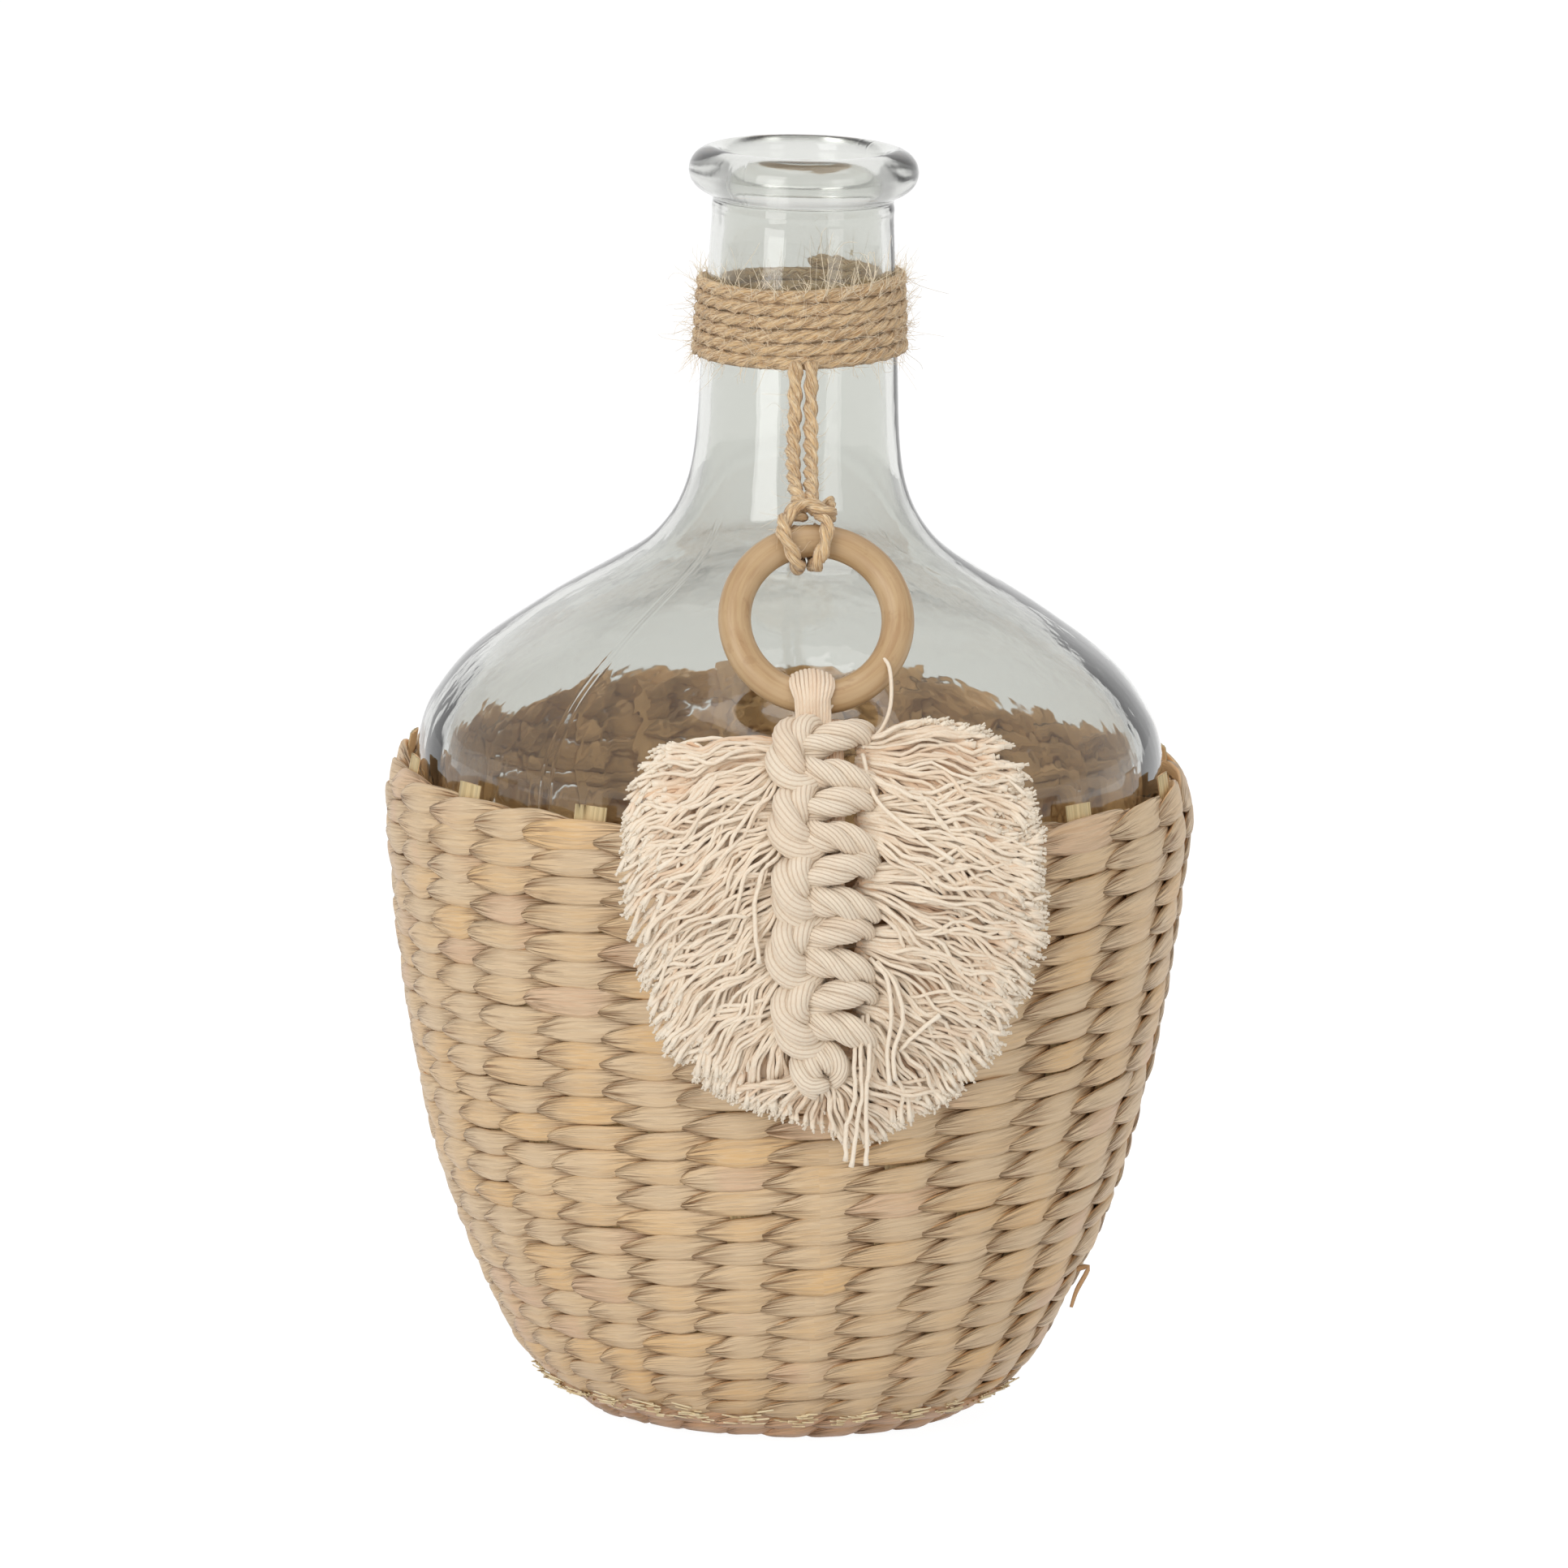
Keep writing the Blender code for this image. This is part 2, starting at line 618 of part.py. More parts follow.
LOOP_LOW = RING_BOTTOM.z - LOOP_RADIUS - LOOP_CORD / 2
CORE_TOP = LOOP_LOW - GAP
LEAF_BEND_HEIGHT = LEAF_BEND_SHARE * (CORE_TOP - BASKET_HEIGHT)
LEAF_TOP_DEPTH = -RING_BOTTOM.y + LEAF_TOP_STEP
BASKET_CORNER = BASKET_RADIUS / math.cos(math.pi / STAKE_COUNT)
LEAF_LOW_DEPTH = BASKET_CORNER + LEAF_CLEARANCE + LEAF_THICKNESS / 2
FIRST_KNOT = CORE_TOP - FIRST_KNOT_DROP
LAST_KNOT = FIRST_KNOT - LEAF_KNOT_PITCH * (LEAF_KNOT_COUNT - 1)
LEAF_MIDDLE = (FIRST_KNOT + LAST_KNOT) / 2 - LEAF_KNOT_PITCH / 2
LEAF_END = LAST_KNOT - LEAF_KNOT_PITCH / 2 - LEAF_END_KNOT_SIZE[2] - GAP


def leaf_depth(height):
    """How far in front of the axis the leaf hangs at a height: it bends over the basket's rim."""
    share = min(max((CORE_TOP - height) / LEAF_BEND_HEIGHT, 0), 1)
    return mixed(LEAF_TOP_DEPTH, LEAF_LOW_DEPTH, math.sin(share * math.pi / 2))


def leaf_front(height, side, away):
    """A place this far in front of the leaf at a height, and the lean of the leaf there."""
    step = LEAF_KNOT_PITCH / 4
    lean = math.atan2(leaf_depth(height - step) - leaf_depth(height + step), 2 * step)
    depth = leaf_depth(height) + away * math.cos(lean)
    return (side, -depth, height + away * math.sin(lean)), -lean


def add_slab(name, outline, parent):
    """A flat piece of the leaf: an outline of (side, height) columns, bent over the rim.

    The outline lists the same number of points down its left side and down its right side.
    """
    slab = bmesh.new()
    half = LEAF_THICKNESS / 2
    rows = []
    for left, right in zip(*outline):
        corners = []
        for (side, height), thickness in ((left, -half), (right, -half), (right, half), (left, half)):
            corners.append(slab.verts.new((side, -leaf_depth(height) + thickness, height)))
        rows.append(corners)
    for upper, lower in zip(rows, rows[1:]):
        for corner in range(4):
            following = (corner + 1) % 4
            slab.faces.new((upper[corner], upper[following], lower[following], lower[corner]))
    slab.faces.new(rows[0])
    slab.faces.new(rows[-1])
    return add_mesh(name, slab, COTTON, parent, smooth=False)


def add_core(parent):
    """The cotton cords that the knots are tied round."""
    steps = LEAF_KNOT_COUNT * 2
    heights = [mixed(CORE_TOP, LEAF_END, step / steps) for step in range(steps + 1)]
    left = [(-CORE_WIDTH / 2, height) for height in heights]
    right = [(CORE_WIDTH / 2, height) for height in heights]
    return add_slab("leaf_core", (left, right), parent)


def add_knots(parent):
    """The row of knots: one bump on the left and two on the right of each."""
    depth = LEAF_KNOT_SIZE[1]
    for number in range(LEAF_KNOT_COUNT):
        height = FIRST_KNOT - number * LEAF_KNOT_PITCH
        away = LEAF_THICKNESS / 2 + 2 * GAP + depth / 2
        name = f"leaf_knot_{number + 1}"
        bumps = []
        for place in (0, -1, 1):
            side = LEAF_KNOT_SHIFT + place * LEAF_KNOT_SPACING
            centre, lean = leaf_front(height, side, away)
            bump_name = name if place == 0 else f"{name}_bump_{place}"
            bumps.append(add_ball(bump_name, centre, LEAF_KNOT_SIZE, COTTON, parent, lean=lean))
        fuse(bumps[0], bumps[1:])
    height = LAST_KNOT - LEAF_KNOT_PITCH / 2 - LEAF_END_KNOT_SIZE[2] / 2
    centre, lean = leaf_front(height, 0, LEAF_THICKNESS / 2 + GAP + LEAF_END_KNOT_SIZE[1] / 2)
    add_ball("leaf_end_knot", centre, LEAF_END_KNOT_SIZE, COTTON, parent, lean=lean)


def leaf_edge(share, side):
    """A point of the leaf's outline, at this share of a half turn from its top."""
    angle = share * math.pi
    reach = LEAF_HALF_WIDTH + side * LEAF_SHIFT
    return Vector((side * reach * math.sin(angle), LEAF_MIDDLE + LEAF_HALF_HEIGHT * math.cos(angle)))


def tuft_edge(root, tip, steps):
    return [tuple(root.lerp(tip, step / steps)) for step in range(steps + 1)]


def add_side_tufts(parent):
    """The fringe beside each knot, from the core out to the leaf's outline."""
    for word, side in (("left", -1), ("right", 1)):
        for number in range(LEAF_KNOT_COUNT):
            middle = FIRST_KNOT - number * LEAF_KNOT_PITCH
            root_side = side * (CORE_WIDTH / 2 + GAP)
            high_root = Vector((root_side, middle + LEAF_KNOT_PITCH / 2 - 2 * GAP))
            low_root = Vector((root_side, middle - LEAF_KNOT_PITCH / 2 + 2 * GAP))
            high_tip = leaf_edge(TUFT_ANGLE_SHARES[number] + TUFT_GAP_SHARE, side)
            low_tip = leaf_edge(TUFT_ANGLE_SHARES[number + 1] - TUFT_GAP_SHARE, side)
            high = tuft_edge(high_root, high_tip, TUFT_STEPS)
            low = tuft_edge(low_root, low_tip, TUFT_STEPS)
            add_slab(f"fringe_{word}_{number + 1}", (high, low), parent)


def add_bottom_tuft(parent):
    """The fringe below the end knot."""
    height = LEAF_END - GAP
    left_tip = leaf_edge(TUFT_ANGLE_SHARES[-1] + TUFT_GAP_SHARE, -1)
    right_tip = leaf_edge(TUFT_ANGLE_SHARES[-1] + TUFT_GAP_SHARE, 1)
    middle_tip = LEAF_MIDDLE - LEAF_HALF_HEIGHT
    half = CORE_WIDTH / 2
    left = [(-half, height), tuple(left_tip), (left_tip.x / 2, middle_tip)]
    right = [(half, height), tuple(right_tip), (right_tip.x / 2, middle_tip)]
    return add_slab("fringe_bottom", (left, right), parent)


def add_leaf(parent):
    add_leaf_loop(parent)
    add_core(parent)
    add_knots(parent)
    add_side_tufts(parent)
    add_bottom_tuft(parent)


def main():
    clear_scene()
    basket = add_basket()
    bottle = add_pivot("bottle", (0, 0, GLASS_BOTTOM), basket)
    add_glass(bottle)
    add_wrap(bottle)
    hanger = add_pivot("hanger", STRAND_HIGH, bottle)
    add_hanger(hanger)
    ring = add_pivot("ring", STRAND_LOW, hanger)
    add_ring(ring)
    add_ring_knot(ring)
    leaf = add_pivot("leaf", RING_BOTTOM, ring)
    add_leaf(leaf)


main()
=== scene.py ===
"""A glass demijohn in a twined straw basket, with twine round its neck, a wooden ring and a knotted cotton leaf.

Metres, +Z up, the leaf hangs at -Y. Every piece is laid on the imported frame.
"""

import math

import bpy
import numpy as np
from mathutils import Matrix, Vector


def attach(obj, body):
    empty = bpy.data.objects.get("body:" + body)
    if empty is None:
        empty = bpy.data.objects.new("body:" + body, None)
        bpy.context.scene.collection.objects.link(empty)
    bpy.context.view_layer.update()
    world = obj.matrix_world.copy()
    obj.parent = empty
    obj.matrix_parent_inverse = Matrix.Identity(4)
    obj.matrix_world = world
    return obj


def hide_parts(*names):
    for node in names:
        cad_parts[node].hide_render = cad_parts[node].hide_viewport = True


bl_info = {
    "name": "Basket-covered demijohn",
    "version": (1, 0, 0),
    "blender": (4, 5, 0),
    "location": "3D View > Sidebar > Demijohn",
    "description": "Dresses the demijohn's frame with glass, twined straw, jute, beech and cotton",
    "category": "Object",
}

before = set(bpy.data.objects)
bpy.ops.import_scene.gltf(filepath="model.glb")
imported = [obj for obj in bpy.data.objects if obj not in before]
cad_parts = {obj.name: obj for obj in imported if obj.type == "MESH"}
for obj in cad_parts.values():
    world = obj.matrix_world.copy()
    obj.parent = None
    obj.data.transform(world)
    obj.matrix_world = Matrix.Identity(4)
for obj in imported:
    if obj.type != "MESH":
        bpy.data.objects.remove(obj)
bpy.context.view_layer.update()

MM = 0.001
TURN = 2 * math.pi

# The basket's outer wall: shares of its height and of its greatest radius
WALL_SHARES = (
    (0.0, 0.462), (0.022, 0.521), (0.052, 0.587), (0.092, 0.646), (0.133, 0.687), (0.185, 0.726),
    (0.266, 0.787), (0.369, 0.848), (0.487, 0.896), (0.605, 0.935), (0.723, 0.966), (0.841, 0.986),
    (0.930, 1.0),
)
BASKET_RADIUS = 0.0844
BASKET_HEIGHT = 0.1355
RIM_RADIUS = 0.0829
# Depths in the wall, from its outside: middle of the outer floats, of the stakes and of the inner floats. Then
# how far apart the rows of the foot disc are
OUTER_DEPTH = 0.0008
STAKE_DEPTH = 0.00255
INNER_DEPTH = 0.0038
BASE_PITCH = 0.0062

# One strand of a row from behind one stake to behind the next: turn, rise, height and how far it is in front
FLOAT = np.array((
    (-1.00, 0.05, 0.80, 0.00), (-0.88, -0.45, 0.45, 0.15), (-0.80, -0.68, 0.10, 0.55), (-0.74, -0.76, 0.00, 0.88),
    (-0.62, -0.62, 0.33, 0.98), (-0.50, -0.45, 0.58, 1.00), (-0.30, -0.22, 0.86, 1.00), (-0.10, 0.00, 0.99, 1.00),
    (0.05, 0.12, 1.00, 1.00), (0.22, 0.34, 0.95, 0.92), (0.40, 0.70, 0.78, 0.76), (0.55, 0.95, 0.60, 0.62),
    (0.70, 1.10, 0.40, 0.46), (0.80, 0.95, 0.30, 0.16), (0.90, 0.50, 0.50, 0.03), (1.00, 0.05, 0.80, 0.00),
)).T

# The glass's outside above the basket and its lip, height and radius in millimetres
SHOULDER = np.array((
    (136, 77.9), (140, 77.7), (146, 76.2), (150, 73.8), (154, 71.0), (158, 67.2), (162, 62.2), (166, 56.5),
    (170, 50.6), (174, 44.0), (178, 37.4), (182, 31.2), (186, 27.4), (190, 24.8), (194, 23.2), (198, 22.1),
    (204, 21.3), (210, 20.9), (222, 20.4), (236, 19.7), (248, 19.1), (251.6, 18.9),
))
LIP = np.array((
    (252.3, 19.0), (253.2, 19.1), (254.0, 18.8), (255.1, 18.9), (256.0, 20.6), (257.4, 22.6), (259.2, 23.7),
    (261.0, 23.9), (262.9, 23.3), (264.4, 21.9), (265.3, 20.0), (265.5, 18.6), (264.9, 17.2), (263.6, 16.5),
    (261.0, 16.3), (256.0, 16.3),
))

# The glass inside the basket: how deep in the wall it stands, its greatest radius, its lowest point and its bore
GLASS_DEPTH = 0.0050
GLASS_RADIUS = 0.0779
GLASS_FOOT = 0.0049
NECK_BORE = 0.0163

# The winding round the neck: its top, the room between it and the glass, and its knot
WRAP_TOP = 0.2404
WRAP_ROOM = 0.0002
WRAP_STEPS = 72
WRAP_KNOT_ANGLE = math.radians(69)
WRAP_KNOT_RADIUS = 0.0240
WRAP_KNOT_HEIGHT = 0.2379

RING_CENTRE = Vector((0, -0.06529, 0.17749))
RING_LEAN = math.radians(25)
RING_RADIUS = 0.01665
RING_TUBE = 0.0067
HITCH_TWINE = 0.0032
RING_DOWN = np.array((0, -math.sin(RING_LEAN), -math.cos(RING_LEAN)))
RING_FRONT = np.array((0, -math.cos(RING_LEAN), math.sin(RING_LEAN)))

# The heights of the leaf's knots in millimetres, then its bend in metres: where it begins, how high it is and how far
# the leaf hangs in front of the axis above and below it. Then the lay and the yarns of its cord
KNOT_HEIGHTS = (151.2, 139.4, 126.6, 113.9, 100.7)
END_KNOT_HEIGHT = 89.2
LEAF_TOP = 0.15555
LEAF_BEND = 0.0300
LEAF_DEPTHS = (0.07463, 0.0881)
ROPE_LAY = 0.021
YARNS_PER_PLY = 12
YARN_SPIN = 170.0


def srgb(red, green, blue):
    """A colour read from the object as 0 to 255 values, as Blender's linear colour."""
    linear = []
    for value in (red, green, blue):
        share = value / 255
        linear.append(share / 12.92 if share <= 0.04045 else ((share + 0.055) / 1.055) ** 2.4)
    return (*linear, 1.0)


def colour_property(name, description, default):
    return bpy.props.FloatVectorProperty(
        name=name, description=description, subtype="COLOR", size=4, min=0, max=1, default=srgb(*default))


def length_property(name, description, default):
    return bpy.props.FloatProperty(
        name=name, description=description, default=default, min=0, unit="LENGTH", precision=5)


class BasketSettings(bpy.types.PropertyGroup):
    rows: bpy.props.IntProperty(name="Rows", description="Rows of twining up the wall", default=25, min=3)
    stakes: bpy.props.IntProperty(name="Stakes", description="Upright stakes round the basket", default=28, min=8)
    brown_rows: bpy.props.IntProperty(name="Brown rows", description="Rows at the foot in browner straw", default=2)
    float_height: length_property("Float height", "Height of a float at its middle", 0.0063)
    tip_height: length_property("Tip height", "Height of a float at its pointed end", 0.0010)
    rise: length_property("Rise", "How far each float climbs from its middle to its tip", 0.0016)
    stake_width: length_property("Stake width", "Width of the flat stakes", 0.0076)
    stake_end: length_property("Stake ends", "How far every second stake stands above the rim", 0.0036)
    straw: colour_property("Straw", "Pale straw of the floats", (208, 181, 145))
    warm_straw: colour_property("Warm straw", "Warmer straw of some floats", (213, 175, 124))
    pink_straw: colour_property("Pink straw", "Pinker straw of a few floats", (207, 169, 137))
    brown_straw: colour_property("Brown straw", "Straw at the foot", (214, 170, 132))
    # Inner straw: the straw of the inward faces, painted brighter and warmer than the floats as painted light for the
    # dim inside
    inner_straw_painted_light: colour_property("Inner straw", "Inside of the basket", (255, 202, 144))
    # Crease: brown for the creases, partly the leaf's own lines and partly painted shade, and the painted shade of the
    # tips and of the deep parts
    crease_shade: colour_property("Crease", "Creases and shaded tips", (140, 102, 64))
    stake_colour: colour_property("Stake", "Green-yellow stakes", (212, 188, 140))


class BottleSettings(bpy.types.PropertyGroup):
    wall: length_property("Wall", "Thickness of the glass", 0.0026)
    base: length_property("Base", "Thickness of the glass at its base", 0.0042)
    pooling: length_property("Pooling", "How much thicker the glass is at the shoulder's edge", 0.0026)
    tint: colour_property("Tint", "Colour of the glass", (227, 228, 224))


class TwineSettings(bpy.types.PropertyGroup):
    wrap_twine: length_property("Wrap twine", "Thickness of the twine round the neck", 0.0029)
    wrap_pitch: length_property("Wrap pitch", "Height of one turn", 0.00276)
    turns: bpy.props.IntProperty(name="Turns", description="Turns round the neck", default=6, min=1)
    strand_twine: length_property("Strand twine", "Thickness of the hanging strands", 0.0031)
    lay: length_property("Lay", "Length of one turn of the plies", 0.0098)
    hairs: bpy.props.IntProperty(name="Hairs", description="Loose fibres on the wrap", default=700, min=0)
    jute: colour_property("Jute", "Middle colour of the twine", (230, 194, 144))
    # Pale jute is painted highlight on the fibres; dark jute is painted shade between them and also the colour of
    # darker patches
    jute_highlight: colour_property("Pale jute", "Lit fibres", (248, 226, 190))
    jute_shade_and_dark_patches: colour_property("Dark jute", "Between the fibres", (176, 134, 90))


class RingSettings(bpy.types.PropertyGroup):
    beech: colour_property("Beech", "Middle colour of the wood", (183, 152, 111))
    grain: colour_property("Grain", "Darker grain", (164, 127, 87))


class LeafSettings(bpy.types.PropertyGroup):
    yarn: length_property("Yarn", "Thickness of one combed-out yarn", 0.00092)
    tuft_yarns: bpy.props.IntProperty(name="Tuft yarns", description="Yarns in one side tuft", default=125, min=8)
    bottom_yarns: bpy.props.IntProperty(name="Bottom yarns", description="Yarns below the end knot", default=130, min=8)
    cord: length_property("Cord", "Thickness of the knotted cord", 0.0073)
    cotton: colour_property("Cotton", "Middle colour of the cotton", (229, 211, 187))
    # Pale cotton is the whiter combed tips and painted light on the front yarns; dark cotton is painted shade between
    # the yarns and on the back yarns
    tip_and_painted_light_cotton: colour_property("Pale cotton", "Tips and lit yarns", (241, 228, 208))
    cotton_shade: colour_property("Dark cotton", "Between the yarns", (222, 184, 148))


class StageSettings(bpy.types.PropertyGroup):
    world_light: bpy.props.FloatProperty(
        name="World light", description="Soft light from all round", default=0.62, min=0)
    key_power: bpy.props.FloatProperty(name="Key", description="Left softbox", default=14.0, min=0, unit="POWER")
    fill_power: bpy.props.FloatProperty(name="Fill", description="Right softbox", default=4.5, min=0, unit="POWER")
    top_power: bpy.props.FloatProperty(name="Top", description="Softbox above", default=6.0, min=0, unit="POWER")


SETTINGS = {
    "demijohn_basket": BasketSettings, "demijohn_bottle": BottleSettings, "demijohn_twine": TwineSettings,
    "demijohn_ring": RingSettings, "demijohn_leaf": LeafSettings, "demijohn_stage": StageSettings,
}


# Curves and strands


def unit(vectors):
    return vectors / np.maximum(np.linalg.norm(vectors, axis=-1, keepdims=True), 1e-12)


def dot(first, second):
    return (first * second).sum(-1, keepdims=True)


def lengths(path):
    """How far each point is along its path."""
    steps = np.linalg.norm(np.diff(path, axis=-2), axis=-1)
    return np.concatenate([np.zeros(steps.shape[:-1] + (1,)), np.cumsum(steps, -1)], -1)


def smooth_path(points, spacing):
    """Evenly spaced points of a smooth curve through the given ones."""
    points = np.asarray(points, float)
    padded = np.concatenate([[2 * points[0] - points[1]], points, [2 * points[-1] - points[-2]]])
    place = np.linspace(0, len(points) - 1, 24 * (len(points) - 1) + 1)
    index = np.minimum(place.astype(int), len(points) - 2)
    t = (place - index)[:, None]
    a, b, c, d = (padded[index + i] for i in range(4))
    dense = 0.5 * (2 * b + (c - a) * t + (2 * a - 5 * b + 4 * c - d) * t ** 2 + (3 * b - a - 3 * c + d) * t ** 3)
    run = lengths(dense)
    wanted = np.linspace(0, run[-1], max(2, round(run[-1] / spacing) + 1))
    return np.stack([np.interp(wanted, run, dense[:, axis]) for axis in range(points.shape[1])], 1)


def directions(paths, closed=False):
    ahead = np.roll(paths, -1, 1) - np.roll(paths, 1, 1)
    if not closed:
        ahead[:, 0] = paths[:, 1] - paths[:, 0]
        ahead[:, -1] = paths[:, -1] - paths[:, -2]
    return unit(ahead)


def outwards(tangent, facing=None):
    """A direction square to each tangent: towards facing, or carried along the path without twist."""
    if facing is not None:
        facing = np.broadcast_to(facing, tangent.shape)
        return unit(facing - tangent * dot(facing, tangent))
    out = np.empty_like(tangent)
    start = np.array((0.05, -1.0, 0.1)) + np.zeros_like(tangent[:, 0])
    for number in range(tangent.shape[1]):
        start = unit(start - tangent[:, number] * dot(start, tangent[:, number]))
        out[:, number] = start
    return out


def plies(path, offset, count, lay, sense=-1, facing=None, start=0.0):
    """The centre lines of the plies laid round a path, and the way each faces."""
    path = np.asarray(path, float)
    tangent = directions(path[None])
    out = outwards(tangent, facing)[0]
    across = np.cross(tangent[0], out)
    run = lengths(path)
    angle = start + sense * TURN * run / lay + TURN * np.arange(count)[:, None] / count
    way = out * np.cos(angle)[..., None] + across * np.sin(angle)[..., None]
    return path + way * np.asarray(offset, float).reshape(-1, 1), way


class Threads:
    """Strands, plies and yarns, collected and made one mesh of closed tubes."""

    def __init__(self, seed):
        self.random = np.random.default_rng(seed)
        self.points, self.quads, self.tris, self.quad_uv, self.tri_uv = ([] for _ in range(5))
        self.values = {"tone": [], "mark": [], "deep": []}
        self.count = 0

    def add(self, paths, width, depth=None, facing=None, sides=8, closed=False, tone=0.5, mark=0.0, shape=None,
            deep=0.0, begin=0.0):
        """Tubes along paths (strands, points, 3): width across, depth towards facing, both by point."""
        paths = np.asarray(paths, float)
        paths = paths[None] if paths.ndim == 2 else paths
        strands, steps = paths.shape[:2]
        tangent = directions(paths, closed)
        out = outwards(tangent, facing)
        across = np.cross(tangent, out)
        width, depth = (np.broadcast_to(size, (strands, steps))[..., None, None] / 2
                        for size in (width, width if depth is None else depth))
        angle = TURN * np.arange(sides) / sides
        ring = (across[:, :, None] * (np.cos(angle)[:, None] * width)
                + out[:, :, None] * (np.sin(angle)[:, None] * depth))
        if shape:
            ring = ring * shape(angle)[..., None]
        self.points.append((paths[:, :, None] + ring).reshape(-1, 3))
        number = self.count + np.arange(strands * steps * sides).reshape(strands, steps, sides)
        self.count += number.size
        after = np.roll(number, -1, 2)
        last = steps if closed else steps - 1
        quads = np.stack([number, np.roll(number, -1, 1), np.roll(after, -1, 1), after], -1)
        self.quads.append(quads[:, :last].reshape(-1, 4))
        run = begin + lengths(np.concatenate([paths, paths[:, :1]], 1))
        around = np.arange(sides) / sides
        low, high, v, w = np.broadcast_arrays(run[:, :last, None], run[:, 1:last + 1, None], around, around + 1 / sides)
        self.quad_uv.append(np.stack([low, v, high, v, high, w, low, w], -1).reshape(-1, 2))
        given = {"tone": np.asarray(tone)[:, None] if np.ndim(tone) == 1 else tone, "mark": mark, "deep": deep}
        values = {word: np.broadcast_to(value, (strands, steps)) for word, value in given.items()}
        for word, value in values.items():
            self.values[word].append(np.repeat(value.reshape(-1), sides))
        for end, first, second in () if closed else ((0, number, after), (steps - 1, after, number)):
            tips = np.broadcast_to((self.count + np.arange(strands))[:, None], (strands, sides))
            self.tris.append(np.stack([tips, first[:, end], second[:, end]], -1).reshape(-1, 3))
            self.points.append(paths[:, end])
            self.count += strands
            for word, value in values.items():
                self.values[word].append(value[:, end])
            place, level = np.broadcast_arrays(run[:, end, None], around)
            fan = [place, level + 0.5 / sides, place, level, place, level + 1 / sides]
            self.tri_uv.append(np.stack(fan, -1).reshape(-1, 2))

    def mesh(self, name):
        corners = np.concatenate([np.concatenate(self.quads).ravel(), *[tri.ravel() for tri in self.tris]])
        uv = np.concatenate([*self.quad_uv, *self.tri_uv])
        quads, tris = sum(map(len, self.quads)), sum(map(len, self.tris))
        starts = np.concatenate([4 * np.arange(quads), 4 * quads + 3 * np.arange(tris)])
        mesh = bpy.data.meshes.new(name)
        mesh.vertices.add(self.count)
        mesh.vertices.foreach_set("co", np.concatenate(self.points).astype(np.float32).ravel())
        mesh.loops.add(len(corners))
        mesh.loops.foreach_set("vertex_index", corners.astype(np.int32))
        mesh.polygons.add(quads + tris)
        mesh.polygons.foreach_set("loop_start", starts.astype(np.int32))
        mesh.polygons.foreach_set("use_smooth", np.ones(quads + tris, bool))
        mesh.uv_layers.new(name="thread").data.foreach_set("uv", uv.astype(np.float32).ravel())
        for word, values in self.values.items():
            layer = mesh.attributes.new(word, "FLOAT", "POINT")
            layer.data.foreach_set("value", np.concatenate(values).astype(np.float32))
        mesh.update(calc_edges=True)
        return mesh


def place(obj, look, body, slot, *nodes):
    """Gives a finished piece its material and body, and hides the frame's nodes that it stands for. Its slot is not
    used.
    """
    obj.data.materials.clear()
    obj.data.materials.append(look)
    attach(obj, body)
    if nodes:
        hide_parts(*nodes)


def place_threads(name, threads, look, body, slot, *nodes):
    obj = bpy.data.objects.new(name, threads.mesh(name))
    bpy.context.scene.collection.objects.link(obj)
    place(obj, look, body, slot, *nodes)


# Materials


class Nodes:
    """Short calls for adding and joining the nodes of one tree."""

    def __init__(self, tree):
        self.tree = tree

    def feed(self, node, values):
        """Sets the sockets of a node, or links them."""
        for name, value in values.items():
            if isinstance(value, bpy.types.NodeSocket):
                self.tree.links.new(value, node.inputs[name])
            else:
                node.inputs[name].default_value = value

    def add(self, kind, values=None, **settings):
        node = self.tree.nodes.new(kind)
        for name, value in settings.items():
            setattr(node, name, value)
        self.feed(node, values or {})
        return node

    def math(self, operation, first, second=0.0):
        return self.add("ShaderNodeMath", {0: first, 1: second}, operation=operation).outputs[0]

    def times(self, first, second):
        return self.math("MULTIPLY", first, second)

    def plus(self, first, second):
        return self.math("ADD", first, second)

    def mix(self, share, first, second):
        return self.add("ShaderNodeMix", {0: share, 6: first, 7: second}, data_type="RGBA").outputs[2]

    def steps(self, value, low, high, to_low=0.0, to_high=1.0):
        values = {0: value, 1: low, 2: high, 3: to_low, 4: to_high}
        return self.add("ShaderNodeMapRange", values, interpolation_type="SMOOTHSTEP").outputs[0]

    def tinged(self, colour, *tints):
        """A colour turned towards each tint as its value goes from low to high, by at most its share."""
        for value, low, high, most, tint in tints:
            colour = self.mix(self.steps(value, low, high, 0.0, most), colour, tint)
        return colour

    def noise(self, vector, scale, detail=2.0, roughness=0.5):
        values = {"Vector": vector, "Scale": scale, "Detail": detail, "Roughness": roughness}
        return self.add("ShaderNodeTexNoise", values).outputs[0]

    def attributes(self, *names):
        return [self.add("ShaderNodeAttribute", attribute_name=name).outputs["Fac"] for name in names]

    def mapped(self, vector, **values):
        return self.add("ShaderNodeMapping", {"Vector": vector, **values}).outputs[0]

    def split(self, vector):
        return self.add("ShaderNodeSeparateXYZ", {0: vector}).outputs

    def join(self, *parts):
        return self.add("ShaderNodeCombineXYZ", dict(enumerate(parts))).outputs[0]

    def uv(self, name="thread"):
        """How far along and how far round its strand a point is."""
        return self.split(self.add("ShaderNodeUVMap", uv_map=name).outputs[0])[:2]

    def seen(self):
        """Whether a ray comes straight from the camera or by glass, and whether it comes straight."""
        path = self.add("ShaderNodeLightPath").outputs
        straight = path["Is Camera Ray"]
        by_glass = self.math("MAXIMUM", path["Is Transmission Ray"], path["Is Glossy Ray"])
        return self.math("MAXIMUM", straight, by_glass), straight

    def cover(self, share, shader, over):
        """Shows another shader over a look's own by a share."""
        mixed = self.add("ShaderNodeMixShader", {0: share, 1: shader.outputs[0], 2: over.outputs[0]}).outputs[0]
        self.feed(next(node for node in self.tree.nodes if node.type == "OUTPUT_MATERIAL"), {"Surface": mixed})


